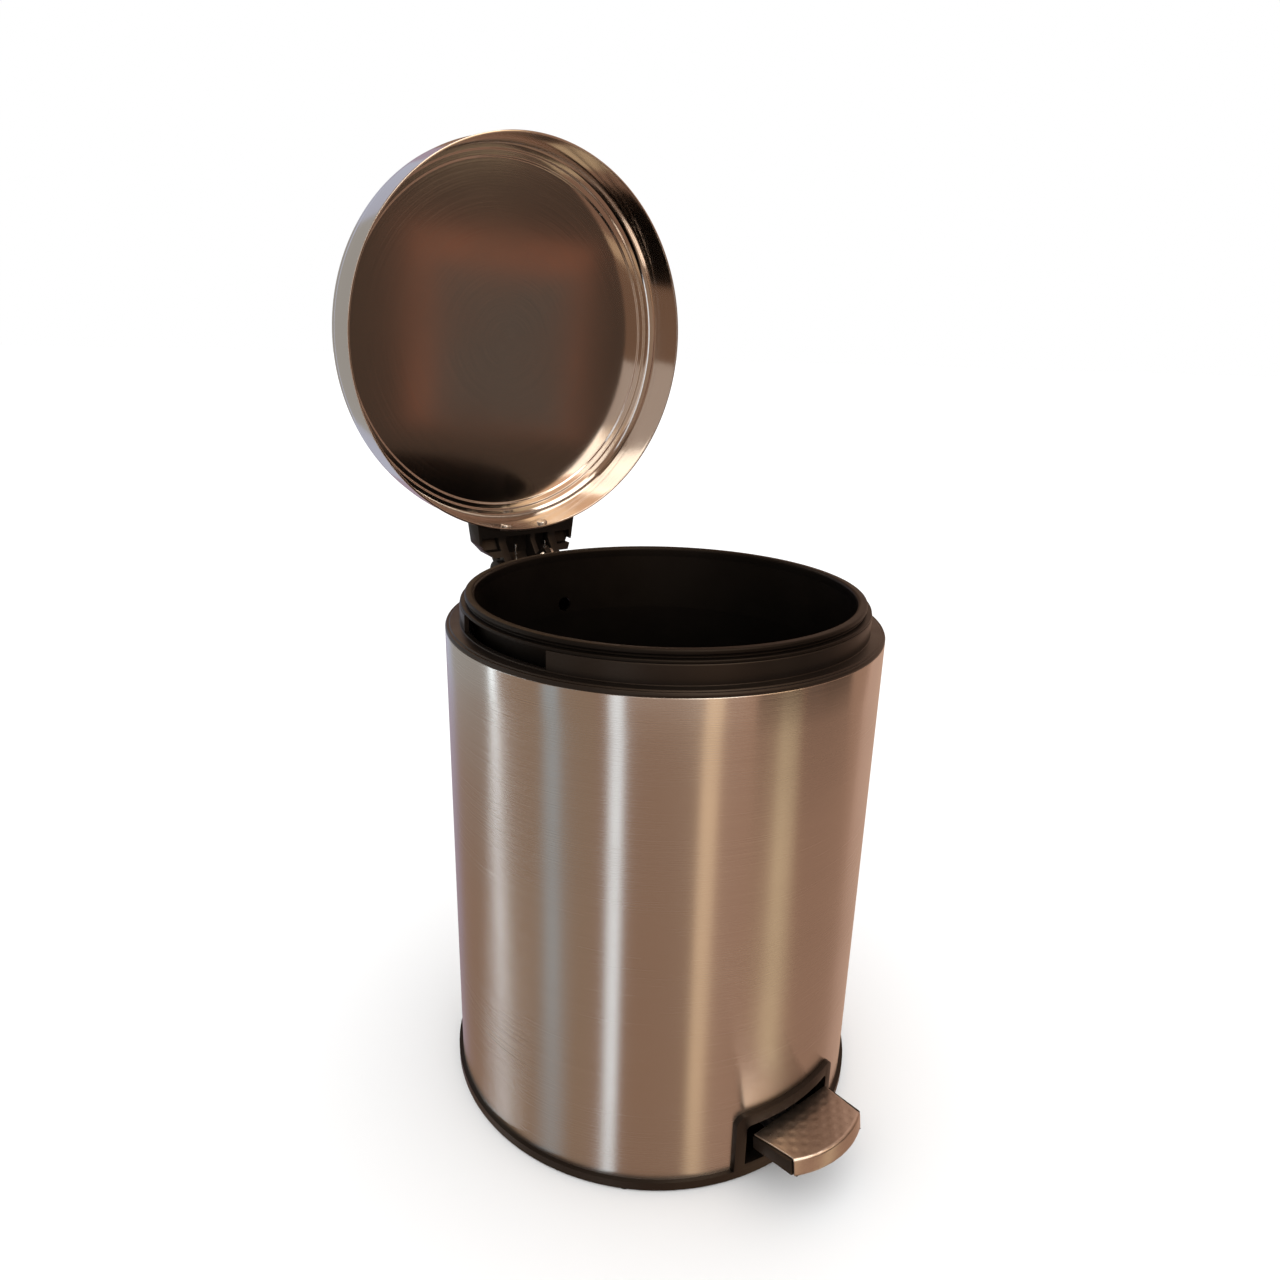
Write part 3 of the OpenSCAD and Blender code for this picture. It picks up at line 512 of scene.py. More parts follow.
def finish(name):
    """Makes each finish once, when a piece first asks for it."""
    scene = bpy.context.scene
    makers = {
        "shell": lambda: brushed_steel("brushed_shell", scene.bin_shell.tint,
                                       scene.bin_shell.roughness, (5, 5200), 0.95, "RADIAL",
                                       relief=0.6),
        "lid": lambda: brushed_steel("lid_steel", scene.bin_lid.tint, scene.bin_lid.roughness,
                                     (4, 2600), 0.4, "UV_MAP", relief=0.1),
        "pedal_steel": lambda: brushed_steel("pedal_steel", (0.62, 0.56, 0.52), 0.3, (900, 900),
                                             0.2, None, "Object"),
        "plastic": lambda: moulded_plastic("black_plastic", scene.bin_plastic.tint),
        "bucket": lambda: moulded_plastic("bucket_plastic", scene.bin_bucket.tint, 0.42, 0.2, 0.2),
        "hinge": lambda: moulded_plastic("hinge_plastic", scene.bin_plastic.tint, 0.38, 0.12, 0.2),
        "bright": lambda: bright_metal("bright_steel", (0.78, 0.77, 0.75)),
        "zinc": lambda: bright_metal("zinc_steel", (0.55, 0.55, 0.56), 0.36),
        "rubber": lambda: soft_rubber("dark_rubber", (0.02, 0.02, 0.02)),
    }
    if name not in FINISHES:
        FINISHES[name] = makers[name]()
    return FINISHES[name]


def dress(name, *nodes):
    """Gives the frame's own nodes a finish."""
    for node in nodes:
        frame["nodes"][node].material_slots[0].material = finish(name)


# ---------- pieces that geometry nodes grow ----------

class Grower(Graph):
    """A geometry-node tree with named inputs, which turns a carrier mesh into a piece."""

    def __init__(self, name):
        super().__init__(bpy.data.node_groups.new(name, "GeometryNodeTree"), "GeometryNode")
        for way in ("INPUT", "OUTPUT"):
            self.tree.interface.new_socket("Geometry", in_out=way, socket_type="NodeSocketGeometry")
        self.source = self.tree.nodes.new("NodeGroupInput")
        self.values = {}

    def ask(self, name, kind, value):
        """A named input, and the value that this piece gives it."""
        socket = self.tree.interface.new_socket(name, in_out="INPUT",
                                                socket_type="NodeSocket" + kind)
        self.values[socket.identifier] = value
        return self.source.outputs[name]

    def sweep(self, curve, radius):
        round_wire = self.node("CurvePrimitiveCircle", {"Resolution": 20, "Radius": radius})
        return self.node("CurveToMesh", {
            "Curve": curve, "Profile Curve": round_wire.outputs["Curve"], "Fill Caps": True,
        }).outputs["Mesh"]

    def stand(self, shape):
        """Stands a shape on each of the carrier's points, turned as the point says."""
        turn = self.node("InputNamedAttribute", {"Name": "turn"}, data_type="FLOAT_VECTOR")
        stood = self.node("InstanceOnPoints", {"Points": self.source.outputs["Geometry"],
                                               "Instance": shape, "Rotation": turn.outputs[0]})
        return stood.outputs[0]

    def grow(self, name, geometry, carrier, material):
        """Ends the tree, runs it on the carrier and returns a plain mesh."""
        paint = self.ask("Material", "Material", material)
        whole = self.node("RealizeInstances", {"Geometry": geometry})
        painted = self.node("SetMaterial", {"Geometry": whole.outputs[0], "Material": paint})
        out = self.tree.nodes.new("NodeGroupOutput")
        self.tree.links.new(painted.outputs[0], out.inputs[0])
        seed = bpy.data.objects.new(name, carrier)
        bpy.context.scene.collection.objects.link(seed)
        modifier = seed.modifiers.new("grow", "NODES")
        modifier.node_group = self.tree
        for identifier, value in self.values.items():
            modifier[identifier] = value
        return take_mesh(seed)


def carrier_mesh(name, points, edges=(), turns=None):
    """Points for a tree to work on. turns are the Euler angles of what stands on each point."""
    mesh = bpy.data.meshes.new(name)
    mesh.from_pydata(points, edges, [])
    if turns:
        attribute = mesh.attributes.new("turn", "FLOAT_VECTOR", "POINT")
        for item, turn in zip(attribute.data, turns):
            item.vector = turn
    return mesh


def bent_wire(name, points, wire, bend, material):
    """A round wire along a path, with its corners bent to a radius."""
    tree = Grower(name)
    curve = tree.node("MeshToCurve", {"Mesh": tree.source.outputs["Geometry"]}).outputs["Curve"]
    filleted = tree.node("FilletCurve", {
        "Curve": curve, "Count": 8, "Limit Radius": True,
        "Radius": tree.ask("Bend radius", "Float", bend)}, mode="POLY")
    tube = tree.sweep(filleted.outputs["Curve"], tree.ask("Wire radius", "Float", wire / 2))
    edges = [(i, i + 1) for i in range(len(points) - 1)]
    return tree.grow(name, tube, carrier_mesh(name, points, edges), material)


def coil_springs(name, points, turn, sizes, material):
    """Close-wound coils with a straight leg, one on each point."""
    tree = Grower(name)
    radius = tree.ask("Coil radius", "Float", sizes.coil)
    height = tree.ask("Coil length", "Float", sizes.coil_length)
    spiral = tree.node("CurveSpiral", {
        "Resolution": 40, "Start Radius": radius, "End Radius": radius, "Height": height,
        "Rotations": tree.ask("Turns", "Float", 4.0)})
    leg = tree.node("CurvePrimitiveLine", {
        "Start": (sizes.coil, 0, sizes.coil_length),
        "End": tree.ask("Leg end", "Vector",
                        (sizes.coil + sizes.leg_rise, sizes.leg, sizes.coil_length))})
    both = tree.node("JoinGeometry")
    for curve in (spiral, leg):
        tree.tree.links.new(curve.outputs[0], both.inputs[0])
    wire = tree.sweep(both.outputs[0], tree.ask("Wire radius", "Float", sizes.spring_wire / 2))
    carrier = carrier_mesh(name, points, turns=[turn] * len(points))
    return tree.grow(name, tree.stand(wire), carrier, material)


def stems(node, outward):
    """For each loose part of a CAD node: its outer end, its outward direction and its length."""
    bm = bmesh.new()
    bm.from_mesh(frame["nodes"][node].data)
    bmesh.ops.remove_doubles(bm, verts=bm.verts, dist=CAD_WELD)
    left = set(bm.verts)
    found = []
    while left:
        front = [left.pop()]
        points = []
        while front:
            vert = front.pop()
            points.append(vert.co.copy())
            for edge in vert.link_edges:
                other = edge.other_vert(vert)
                if other in left:
                    left.remove(other)
                    front.append(other)
        axis = outward(sum(points, Vector()) / len(points)).normalized()
        reach = [point.dot(axis) for point in points]
        tip = [point for point in points if point.dot(axis) > max(reach) - 0.02 * MM]
        found.append((sum(tip, Vector()) / len(tip), axis, max(reach) - min(reach)))
    bm.free()
    return found


def lathe_stem(outline):
    bm = bmesh.new()
    add_lathe(bm, rounded(outline, 4), 40)
    weld(bm)
    return bm


def screw_model(head, rise, stem, length):
    """A screw with a cross recess. The top of its head is at the origin and its stem goes to -Z."""
    bm = lathe_stem([(0, 0, 0), (head, 0, 0.45 * rise), (head, -rise, 0.1 * MM), (stem, -rise, 0),
                     (stem, -length, 0.3 * MM), (0, -length, 0)])
    screw = draft("screw", bm)
    bm = bmesh.new()
    arm, width, depth = 0.62 * head, 0.17 * head, 0.6 * rise
    half = [(arm, width), (width, width), (width, arm),
            (-width, arm), (-width, width), (-arm, width)]
    plan = half + [(-x, -y) for x, y in half]
    base = [bm.verts.new((0.8 * x, 0.8 * y, -depth)) for x, y in plan]
    top = [bm.verts.new((x, y, 0.2 * depth)) for x, y in plan]
    bm.faces.new(base)
    bm.faces.new(top)
    for i in range(len(plan)):
        j = (i + 1) % len(plan)
        bm.faces.new((base[i], base[j], top[j], top[i]))
    bmesh.ops.recalc_face_normals(bm, faces=bm.faces)
    cut_away(screw, draft("cross", bm))
    return screw


def rivet_model(head, rise, stem, length):
    """A domed rivet. Its tail is at the origin and its head is at the far end of its stem."""
    bm = lathe_stem([(0, 0, 0), (stem * 1.5, 0, 0.4 * rise), (stem * 1.6, -0.8 * rise, 0.1 * MM),
                     (stem, -0.8 * rise, 0), (stem, -length + rise, 0),
                     (head, -length + rise, 0.1 * MM), (head, -length, 0.9 * rise), (0, -length, 0)])
    return draft("rivet", bm)


def fasteners(node, name, body, outward, model, head, rise, stem):
    """Stands a fastener at each place of a CAD node, and replaces the node."""
    places = stems(node, outward)
    piece = model(head * MM, rise * MM, stem * MM, places[0][2])
    tree = Grower(name)
    shape = tree.node("ObjectInfo", {"Object": tree.ask("Piece", "Object", piece)})
    stood = tree.stand(shape.outputs["Geometry"])
    turns = [axis.to_track_quat("Z", "Y").to_euler() for _, axis, _ in places]
    carrier = carrier_mesh(name, [top for top, _, _ in places], turns=turns)
    mesh = tree.grow(name, stood, carrier, finish("bright"))
    bpy.data.objects.remove(piece)
    made = place(name, mesh, body, finish("bright"), 40)
    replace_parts(made, node)
    return made


# ---------- pieces ----------

class BIN_OT_shell(bpy.types.Operator):
    """Build the brushed steel shell with its pedal cut-out and rod slot"""
    bl_idname = "pedal_bin.shell"
    bl_label = "Shell"

    def execute(self, context):
        sizes = context.scene.bin_shell
        rows = [SHELL_LOW, high("pedal_frame").z - sizes.cutout_drop]
        linkage = context.scene.bin_linkage
        room = linkage.wire / 2 + sizes.rod_room
        drop = 2 * (JOINTS["rod_pivot"]["pos_m"][2] - HINGE.z)
        rows += [linkage.jog - drop - room, linkage.jog + room, SHELL_TOP]
        cut = asin(sizes.cutout / 2 / sizes.radius)
        slot = asin(sizes.slot / 2 / sizes.radius)
        angles = sorted([2 * pi * c / sizes.columns for c in range(sizes.columns)]
                        + [cut, 2 * pi - cut, pi - slot, pi + slot])
        bm = bmesh.new()
        uv = bm.loops.layers.uv.verify()
        radius = sizes.radius
        grid = [[bm.verts.new((radius * sin(a), -radius * cos(a), z)) for z in rows]
                for a in angles]
        count = len(angles)
        for c in range(count):
            middle = (angles[c] + (angles[(c + 1) % count] or 2 * pi)) / 2
            in_cut = min(middle, 2 * pi - middle) < cut
            in_slot = abs(middle - pi) < slot
            for r in range(len(rows) - 1):
                if (in_cut and r == 0) or (in_slot and r == 2):
                    continue
                face = bm.faces.new((grid[c][r], grid[(c + 1) % count][r],
                                     grid[(c + 1) % count][r + 1], grid[c][r + 1]))
                turns = (angles[c] / (2 * pi), (angles[(c + 1) % count] or 2 * pi) / (2 * pi))
                for loop, place_uv in zip(face.loops, ((0, r), (1, r), (1, r + 1), (0, r + 1))):
                    shifted = (turns[place_uv[0]] + 0.5) % 1.0 if turns[place_uv[0]] != 0.5 else (
                        0.0 if turns[0] >= 0.5 else 1.0)
                    loop[uv].uv = (shifted, rows[place_uv[1]])
        piece = draft("shell_draft", bm)
        wall = piece.modifiers.new("sheet", "SOLIDIFY")
        wall.thickness = sizes.sheet
        wall.offset = -1
        mesh = take_mesh(piece)
        self.ease_top_edge(mesh, sizes)
        shell = place("steel_shell", mesh, "bin", finish("shell"))
        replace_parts(shell, "outer_shell")
        return {"FINISHED"}

    def ease_top_edge(self, mesh, sizes):
        """Rounds the outer corner of the steel's top edge."""
        bm = bmesh.new()
        bm.from_mesh(mesh)

        def on_corner(vert):
            return vert.co.z > SHELL_TOP - 0.01 * MM and vert.co.xy.length > sizes.radius - 0.1 * MM

        corner = [edge for edge in bm.edges if all(on_corner(vert) for vert in edge.verts)]
        bmesh.ops.bevel(bm, geom=corner, offset=sizes.top_edge, segments=3, profile=0.5,
                        affect="EDGES")
        bm.to_mesh(mesh)
        bm.free()


class BIN_OT_collar(bpy.types.Operator):
    """Build the black collar with its shelf, band and two finger notches"""
    bl_idname = "pedal_bin.collar"
    bl_label = "Collar"

    def execute(self, context):
        sizes = context.scene.bin_collar
        shell = context.scene.bin_shell
        radius = shell.radius
        shelf = COLLAR_TOP - sizes.band_height
        skirt = radius - shell.sheet - 0.1 * MM
        band = radius - sizes.band_inset
        back = band - sizes.band_wall
        ring = rounded([
            (skirt - 2 * MM, SHELL_TOP - sizes.skirt, 0.4 * MM),
            (skirt, SHELL_TOP - sizes.skirt, 0.6 * MM),
            (skirt, SHELL_TOP, 0), (radius - 0.1 * MM, SHELL_TOP, 0.2 * MM),
            (radius, SHELL_TOP + 0.9 * MM, 0.8 * MM),
            (radius - 0.5 * MM, shelf - 0.4 * MM, 0.5 * MM),
            (radius - 1.7 * MM, shelf - 0.5 * MM, 0.2 * MM),
            (radius - 2.1 * MM, shelf, 0.3 * MM),
            (band, shelf, 0.5 * MM), (band, shelf + 0.6 * MM, 0), (back, shelf + 0.6 * MM, 0),
            (back, SHELL_TOP - 0.7 * MM, 0.3 * MM),
            (skirt - 2 * MM, SHELL_TOP - 0.7 * MM, 0.5 * MM),
        ])
        bm = bmesh.new()
        add_lathe(bm, ring, 288)
        wall = rounded([
            (band, shelf - 0.3 * MM, 0), (band, COLLAR_TOP, 0.5 * MM),
            (back, COLLAR_TOP, 0.5 * MM), (back, shelf - 0.3 * MM, 0),
        ])
        notch_start = sizes.notch_middle - sizes.notch_half
        notch_stop = sizes.notch_middle + sizes.notch_half
        add_lathe(bm, wall, 112, FRONT - notch_start, 2 * notch_start)
        add_lathe(bm, wall, 128, FRONT + notch_stop, 2 * pi - 2 * notch_stop)
        collar = finish_mesh("collar", bm, "bin", finish("plastic"), 40)
        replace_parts(collar, "top_collar")
        return {"FINISHED"}


class BIN_OT_bucket(bpy.types.Operator):
    """Build the black bucket with its rolled lip, its flange and its vent hole"""
    bl_idname = "pedal_bin.bucket"
    bl_label = "Bucket"

    def execute(self, context):
        sizes = context.scene.bin_bucket
        radius = context.scene.bin_shell.radius
        foot, side, neck, lip = sizes.foot, sizes.side, sizes.neck, sizes.lip
        flange = radius - context.scene.bin_collar.band_inset - 0.3 * MM
        wall = sizes.wall
        shoulder = SHELL_TOP - 18 * MM
        outline = rounded([
            (0, BUCKET_LOW, 0), (foot - 9 * MM, BUCKET_LOW, 1 * MM),
            (foot, BUCKET_LOW + 0.1 * MM, 5 * MM), (side, shoulder, 8 * MM),
            (neck, COLLAR_TOP - 3 * MM, 4 * MM), (neck, COLLAR_TOP, 0.3 * MM),
            (flange, COLLAR_TOP, 0.4 * MM), (flange, COLLAR_TOP + 1.4 * MM, 0.6 * MM),
            (lip - 1 * MM, COLLAR_TOP + 1.5 * MM, 0.4 * MM),
            (lip - 1 * MM, COLLAR_TOP + 2.5 * MM, 0.3 * MM), (lip, COLLAR_TOP + 2.9 * MM, 0.7 * MM),
            (lip, BUCKET_TOP, 1.5 * MM), (lip - 4.4 * MM, BUCKET_TOP, 1.5 * MM),
            (lip - 4.4 * MM, COLLAR_TOP, 3 * MM),
            (side - wall, shoulder, 8 * MM), (foot - wall, BUCKET_LOW + wall, 4.5 * MM),
            (foot - 9 * MM, BUCKET_LOW + wall, 1 * MM), (0, BUCKET_LOW + wall, 0),
        ], 6)
        bm = bmesh.new()
        add_lathe(bm, outline, 256)
        weld(bm)
        pail = draft("bucket_draft", bm)
        cut_away(pail, self.drill(sizes, side))
        bucket = place("bucket", take_mesh(pail), "bucket", finish("bucket"), 40)
        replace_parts(bucket, "inner_bucket")
        return {"FINISHED"}

    def drill(self, sizes, side):
        bm = bmesh.new()
        bmesh.ops.create_cone(bm, cap_ends=True, segments=48, radius1=sizes.vent,
                              radius2=sizes.vent, depth=12 * MM)
        bmesh.ops.transform(bm, verts=bm.verts,
                            matrix=Matrix.Translation((0, side, sizes.vent_height))
                            @ Matrix.Rotation(pi / 2, 4, "X"))
        return draft("drill", bm)


class BIN_OT_lid(bpy.types.Operator):
    """Build the steel lid pan with its rolled rim, cove and stepped panel"""
    bl_idname = "pedal_bin.lid"
    bl_label = "Lid"

    def execute(self, context):
        sizes = context.scene.bin_lid
        rim = COLLAR_TOP - context.scene.bin_collar.band_height + 0.4 * MM
        top = rim + sizes.depth + sizes.sheet
        radius = sizes.radius
        inner = radius - sizes.sheet
        panel = sizes.panel
        inside = rim + sizes.depth
        outline = rounded([
            (0, top, 0), (radius, top, 11 * MM), (radius, rim + 1.6 * MM, 0.3 * MM),
            (radius + 0.4 * MM, rim + 1.2 * MM, 0.3 * MM),
            (radius + 0.4 * MM, rim + 0.1 * MM, 0.4 * MM),
            (inner - 0.1 * MM, rim, 0.4 * MM), (inner, rim + 1.6 * MM, 0.4 * MM),
            (inner, inside - 2.4 * MM, 7.5 * MM), (panel + 1.2 * MM, inside - 2.4 * MM, 0.4 * MM),
            (panel + 0.4 * MM, inside - 1.1 * MM, 0.5 * MM),
            (panel - 2.2 * MM, inside - 1.1 * MM, 0.5 * MM),
            (panel - 3 * MM, inside, 0.5 * MM), (0, inside, 0),
        ], 8)
        bm = bmesh.new()
        add_lathe(bm, outline, 288, start=pi / 2)
        swing_open(bm)
        lid = finish_mesh("lid_pan", bm, "lid", finish("lid"), 50)
        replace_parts(lid, "lid_shell")
        return {"FINISHED"}


class BIN_OT_hinge(bpy.types.Operator):
    """Build the hinge's mouldings with rounded edges and finish its metal pieces"""
    bl_idname = "pedal_bin.hinge"
    bl_label = "Hinge"

    def execute(self, context):
        edge = context.scene.bin_plastic.edge
        for node, body in (("hinge_arm", "lid"), ("hinge_housing", "bin"), ("hinge_cover", "bin")):
            soften(node, node + "_moulding", body, finish("hinge"), edge)
        dress("bright", "hinge_pin", "pin_caps")
        dress("zinc", "lid_bracket")
        self.fasten()
        self.springs(context.scene.bin_linkage)
        return {"FINISHED"}

    def fasten(self):
        """Each call ends with the head's radius and height and the stem's radius, in mm."""
        opened = Matrix.Rotation(-OPEN_ANGLE, 3, "X")
        down = opened @ Vector((0, 0, -1))

        def from_skirt(centre):
            closed = opened.inverted() @ (centre - HINGE) + HINGE
            return opened @ Vector((closed.x, closed.y, 0))

        fasteners("cover_screws", "cover_screw_set", "bin", lambda c: Vector((0, 1, 0)),
                  screw_model, 3.4, 1.6, 2)
        fasteners("housing_screws", "housing_screw_set", "bin",
                  lambda c: Vector((-c.x, -c.y, 0)), screw_model, 3.4, 2, 2)
        fasteners("arm_screws", "arm_screw_set", "lid", lambda c: down,
                  screw_model, 2.9, 1.8, 1.5)
        fasteners("lid_rivets", "lid_rivet_set", "lid", from_skirt, rivet_model, 3, 1.2, 1.6)

    def springs(self, sizes):
        """The coils lie on the pin, which has a spring at each side of the crank's lug."""
        centres = sorted({round(vert.co.x, 5)
                          for vert in frame["nodes"]["torsion_springs"].data.vertices})
        gap = max(zip(centres, centres[1:]), key=lambda pair: pair[1] - pair[0])
        starts = (centres[0], gap[1])
        # the coil's own X, Y and Z lie along the bin's Z, -Y and X before the lid swings open
        lay = Matrix(((0, 0, 1), (0, -1, 0), (1, 0, 0)))
        turn = (Matrix.Rotation(-OPEN_ANGLE, 3, "X") @ lay).to_euler()
        points = [(x + sizes.spring_wire / 2, HINGE.y, HINGE.z) for x in starts]
        mesh = coil_springs("springs", points, turn, sizes, finish("bright"))
        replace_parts(place("springs", mesh, "lid", finish("bright")),
                    "torsion_springs")


class BIN_OT_linkage(bpy.types.Operator):
    """Build the bent push rod and finish its clips and the pedal's lever"""
    bl_idname = "pedal_bin.linkage"
    bl_label = "Linkage"

    def execute(self, context):
        sizes = context.scene.bin_linkage
        crank = Vector(JOINTS["rod_pivot"]["pos_m"])
        clear = sizes.wire / 2 + 0.04 * MM
        inner = low("push_rod").y + clear
        foot = low("push_rod").z + clear
        path = [(sizes.top_hook, crank.y, crank.z), (0, crank.y, crank.z),
                (0, crank.y, sizes.jog + sizes.jog_half), (0, inner, sizes.jog - sizes.jog_half),
                (0, inner, foot), (sizes.low_hook, inner, foot)]
        mesh = bent_wire("rod", path, sizes.wire, sizes.bend, finish("bright"))
        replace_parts(place("rod", mesh, "rod", finish("bright")), "push_rod")
        dress("bright", "rod_clips", "pedal_axle", "axle_clips")
        dress("zinc", "pedal_lever")
        return {"FINISHED"}


class BIN_OT_base(bpy.types.Operator):
    """Build the black base and the pedal's surround, and finish the feet and the pads"""
    bl_idname = "pedal_bin.base"
    bl_label = "Base"

    def execute(self, context):
        soften("base", "base_moulding", "bin", finish("plastic"), 0.5 * MM)
        soften("pedal_frame", "pedal_surround", "bin", finish("plastic"), 0.9 * MM)
        dress("plastic", "base_plate")
        dress("rubber", "rubber_feet", "lever_buffer")
        return {"FINISHED"}


class BIN_OT_pedal(bpy.types.Operator):
    """Build the pedal's moulding, its screws and its dimpled steel plate"""
    bl_idname = "pedal_bin.pedal"
    bl_label = "Pedal"

    def execute(self, context):
        soften("pedal_body", "pedal_moulding", "pedal", finish("plastic"),
               0.6 * MM)
        sizes = context.scene.bin_pedal
        down = Matrix.Rotation(-sizes.slope, 3, "X") @ Vector((0, 0, -1))
        fasteners("pedal_screws", "pedal_screw_set", "pedal", lambda c: down,
                  screw_model, 2.9, 1.5, 1.7)
        bm = bmesh.new()
        columns, rows, lip_rows = 128, 72, 10
        half = sizes.width / 2
        corner = half - sizes.taper
        nose_r = (corner ** 2 + sizes.nose ** 2) / (2 * sizes.nose)
        bend = sizes.bend
        grid = []
        for c in range(columns + 1):
            s = 2 * c / columns - 1
            edge_x = s * corner
            bulge = sqrt(nose_r ** 2 - edge_x ** 2) - (nose_r - sizes.nose)
            out = Vector((edge_x, -(bulge + nose_r - sizes.nose), 0)).normalized()
            column = []
            for r in range(rows + 1):
                t = r / rows
                x = s * (half - sizes.taper * t)
                y = -t * (sizes.side + bulge) + t * bend * abs(out.y)
                column.append(bm.verts.new((x - t * out.x * bend, y, self.dimple(x, y, sizes))))
            tip = column[-1].co.copy()
            for r in range(1, lip_rows + 1):
                turn = min(r / 6, 1) * pi / 2
                drop = bend * (1 - cos(turn)) + max(r - 6, 0) / (lip_rows - 6) * (sizes.lip - bend)
                column.append(bm.verts.new(tip + out * bend * sin(turn) - Vector((0, 0, drop))))
            grid.append(column)
        for c in range(columns):
            for r in range(rows + lip_rows):
                bm.faces.new((grid[c][r], grid[c][r + 1], grid[c + 1][r + 1], grid[c + 1][r]))
        bmesh.ops.recalc_face_normals(bm, faces=bm.faces)
        seat = Vector((0, high("pedal_plate").y, sizes.seat))
        bmesh.ops.transform(bm, verts=bm.verts, matrix=Matrix.Translation(seat)
                            @ Matrix.Rotation(-sizes.slope, 4, "X"))
        sheet = draft("plate_draft", bm)
        wall = sheet.modifiers.new("sheet", "SOLIDIFY")
        wall.thickness = sizes.plate
        wall.offset = -1
        worn = sheet.modifiers.new("edge", "BEVEL")
        worn.width = 0.3 * MM
        worn.segments = 2
        worn.limit_method = "ANGLE"
        worn.angle_limit = radians(50)
        plate = place("dimpled_plate", take_mesh(sheet), "pedal", finish("pedal_steel"),
                      40)
        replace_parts(plate, "pedal_plate")
        return {"FINISHED"}

    def dimple(self, x, y, sizes):
        """Depth of the staggered round dimples at a point of the plate."""
        pitch = sizes.dimple_pitch
        row = round(-y / (pitch * 0.5))
        best = 1.0
        for line in (row - 1, row, row + 1):
            offset = pitch / 2 if line % 2 else 0.0
            across = (x - offset + pitch / 2) % pitch - pitch / 2
            down = -y - line * pitch * 0.5
            best = min(best, sqrt(across ** 2 + (down * 1.1) ** 2) / (pitch * 0.36))
        edge = min(1.0, max(0.0, (sizes.width / 2 - 1.6 * MM - abs(x)) / (1.5 * MM)))
        return -sizes.dimple_depth * 0.5 * (1 + cos(pi * min(best, 1.0))) * edge


def facing(where, out):
    """The place and turn of what stands at a point with its back along a direction."""
    return Matrix.Translation(where) @ out.to_track_quat("Z", "Y").to_matrix().to_4x4()


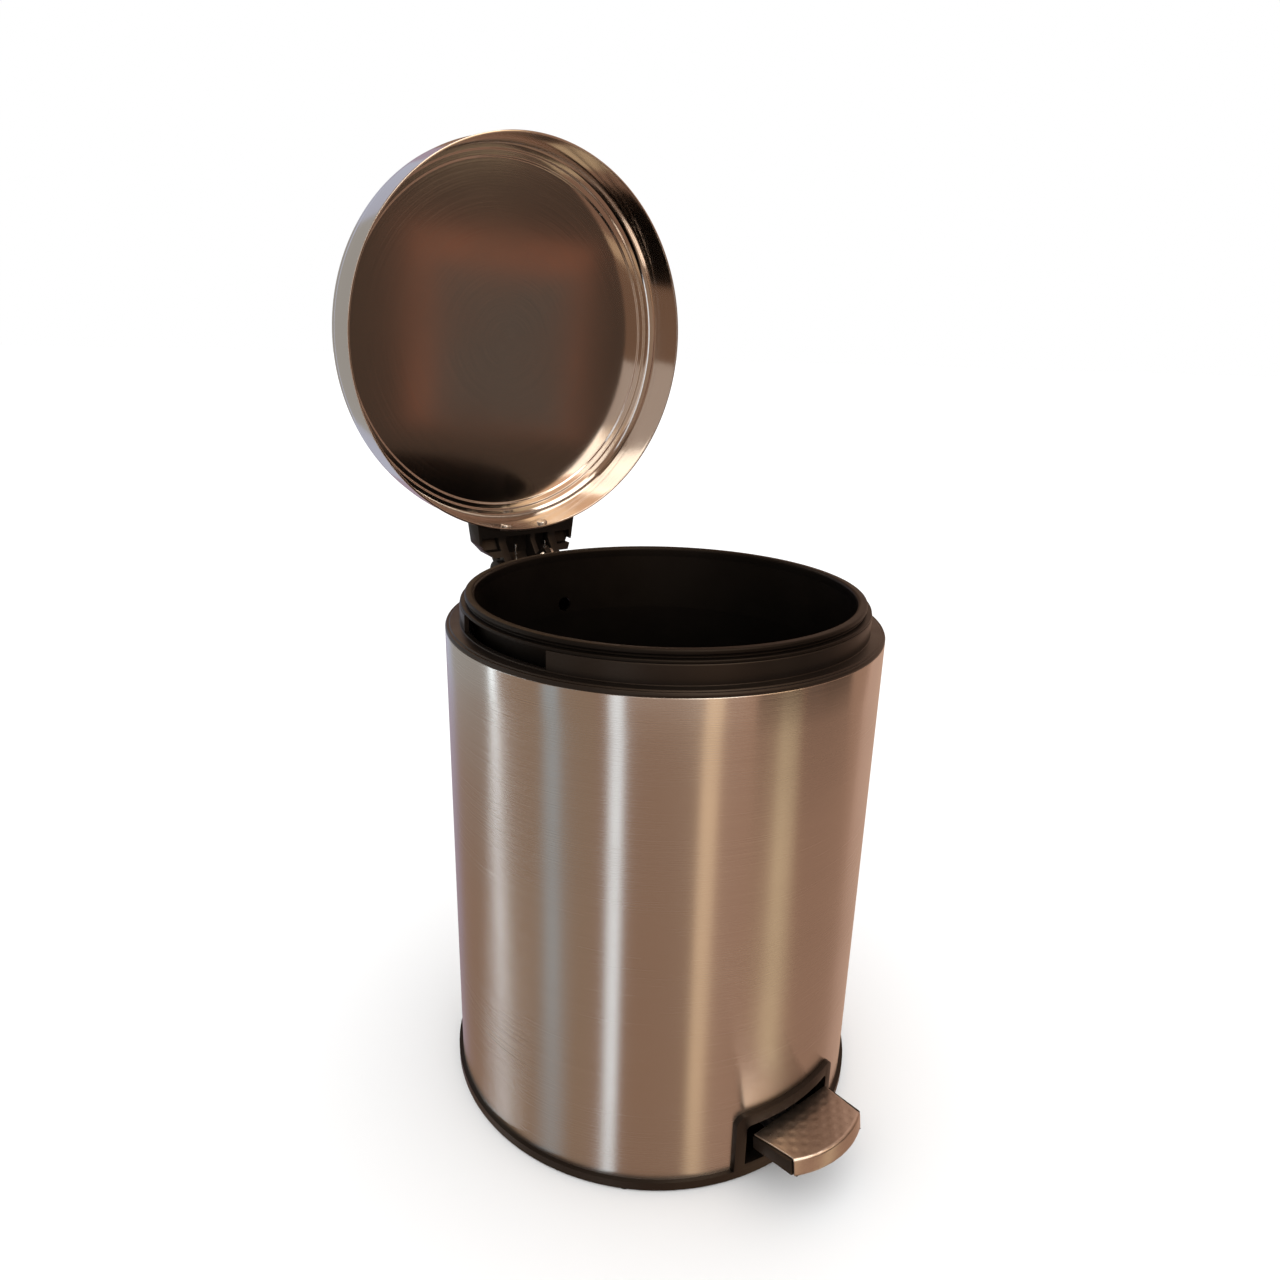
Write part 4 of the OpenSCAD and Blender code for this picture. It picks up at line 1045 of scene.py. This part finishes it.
class BIN_OT_stage(bpy.types.Operator):
    """Set up the camera, the pale floor and the soft lights"""
    bl_idname = "pedal_bin.stage"
    bl_label = "Stage"

    def execute(self, context):
        for step in (self.camera, self.world, self.floor, self.strips, self.flags, self.boxes):
            step(context.scene)
        context.scene.view_settings.view_transform = "Standard"
        return {"FINISHED"}

    def camera(self, scene):
        lens = bpy.data.cameras.new("camera")
        lens.sensor_width = 36
        lens.lens = 25.42
        lens.clip_start = 0.01
        camera = bpy.data.objects.new("camera", lens)
        right = CAMERA_RIGHT.normalized()
        back = right.cross(CAMERA_UP).normalized()
        up = back.cross(right)
        turn = Matrix((right, up, back)).transposed()
        camera.matrix_world = Matrix.Translation(CAMERA_PLACE) @ turn.to_4x4()
        scene.collection.objects.link(camera)
        scene.camera = camera

    def world(self, scene):
        """White where it is seen or lights matt faces, and a warm room where it is reflected."""
        world = bpy.data.worlds.new("studio")
        scene.world = world
        world.use_nodes = True
        nodes, links = world.node_tree.nodes, world.node_tree.links
        nodes.clear()
        path = nodes.new("ShaderNodeLightPath")
        shader = self.background(nodes, scene.bin_stage.room)
        for ray, level in (("Is Diffuse Ray", scene.bin_stage.soft_light), ("Is Camera Ray", 1.0)):
            mix = nodes.new("ShaderNodeMixShader")
            links.new(path.outputs[ray], mix.inputs[0])
            links.new(shader.outputs[0], mix.inputs[1])
            links.new(self.background(nodes, (level, level, level)).outputs[0], mix.inputs[2])
            shader = mix
        out = nodes.new("ShaderNodeOutputWorld")
        links.new(shader.outputs[0], out.inputs[0])

    def background(self, nodes, tint):
        made = nodes.new("ShaderNodeBackground")
        made.inputs["Color"].default_value = rgba(tint)
        return made

    def floor(self, scene):
        bm = bmesh.new()
        bmesh.ops.create_circle(bm, cap_ends=True, segments=96, radius=30)
        pale = Finish("pale_floor")
        pale.set(Base_Color=(0.93, 0.93, 0.93, 1), Roughness=0.9, Specular_IOR_Level=0.0)
        floor = self.card("floor", bm, pale.material)
        floor.visible_glossy = False
        floor.visible_shadow = False

    def card(self, name, bm, material):
        mesh = bpy.data.meshes.new(name)
        bm.to_mesh(mesh)
        bm.free()
        mesh.materials.append(material)
        card = bpy.data.objects.new(name, mesh)
        bpy.context.scene.collection.objects.link(card)
        return card

    def strips(self, scene):
        """Tall soft lights all round, which the steel draws out into upright streaks."""
        reach = scene.bin_stage.distance
        to_camera = Vector((CAMERA_PLACE.x, CAMERA_PLACE.y, 0)).normalized()
        for name, azimuth, spread, level in STRIPS:
            angle = radians(azimuth)
            out = Vector((cos(angle), sin(angle), 0))
            # the streak's place on the shell faces halfway between the camera and the strip
            side = (out + to_camera).normalized() * SHELL_RADIUS
            self.light(name, side, out, reach, spread, 3 * reach, level)

    def light(self, name, towards, out, reach, spread, tall, level):
        """A soft light that metal reflects at a level. spread is its width in degrees."""
        lamp = bpy.data.lights.new(name, "AREA")
        lamp.shape = "RECTANGLE"
        lamp.size = 2 * reach * tan(radians(spread) / 2)
        lamp.size_y = tall or lamp.size
        gain = max(level)
        lamp.color = [part / gain for part in level]
        lamp.energy = 4 * gain * lamp.size * lamp.size_y
        light = bpy.data.objects.new(name, lamp)
        light.matrix_world = facing(towards + out * reach, out)
        light.visible_diffuse = False
        bpy.context.scene.collection.objects.link(light)

    def flags(self, scene):
        """Dim cards that the inside of the lid reflects."""
        for name, azimuth, lift, width, tall, distance, tint in FLAGS:
            angle = radians(azimuth)
            out = Vector((cos(angle), sin(angle), 0))
            dim = Finish(name)
            dim.set(Base_Color=(0, 0, 0, 1), Roughness=1.0, Emission_Color=rgba(tint),
                    Emission_Strength=1.0)
            bm = bmesh.new()
            bmesh.ops.create_grid(bm, x_segments=1, y_segments=1, size=0.5)
            bmesh.ops.transform(bm, verts=bm.verts,
                                matrix=facing(out * distance + Vector((0, 0, lift)), out)
                                @ Matrix.Diagonal((width, tall, 1, 1)))
            card = self.card(name, bm, dim.material)
            card.visible_camera = card.visible_diffuse = False

    def boxes(self, scene):
        """Soft boxes that the lid's cove and skirt and the rims reflect."""
        for name, azimuth, elevation, across, level in BOXES:
            out = Vector((cos(radians(azimuth)) * cos(radians(elevation)),
                          sin(radians(azimuth)) * cos(radians(elevation)), sin(radians(elevation))))
            self.light(name, LID_MIDDLE, out, scene.bin_stage.distance, across, None, level)


class BIN_PT_panel(bpy.types.Panel):
    """Lists the pieces of the bin"""
    bl_idname = "BIN_PT_panel"
    bl_label = "Pedal bin"
    bl_space_type = "VIEW_3D"
    bl_region_type = "UI"
    bl_category = "Pedal bin"

    def draw(self, context):
        for group in GROUPS:
            box = self.layout.box()
            sizes = getattr(context.scene, group)
            for name in sizes.__annotations__:
                box.prop(sizes, name)
        for operator in OPERATORS:
            self.layout.operator(operator.bl_idname)


OPERATORS = (BIN_OT_stage, BIN_OT_shell, BIN_OT_collar, BIN_OT_bucket, BIN_OT_lid, BIN_OT_hinge,
             BIN_OT_linkage, BIN_OT_base, BIN_OT_pedal)
CLASSES = tuple(GROUPS.values()) + OPERATORS + (BIN_PT_panel,)


def register():
    for cls in CLASSES:
        bpy.utils.register_class(cls)
    for name, group in GROUPS.items():
        setattr(bpy.types.Scene, name, PointerProperty(type=group))


def unregister():
    for name in GROUPS:
        delattr(bpy.types.Scene, name)
    for cls in reversed(CLASSES):
        bpy.utils.unregister_class(cls)


def main():
    register()
    for operator in OPERATORS:
        group, name = operator.bl_idname.split(".")
        getattr(getattr(bpy.ops, group), name)()


if __name__ == "__main__":
    main()
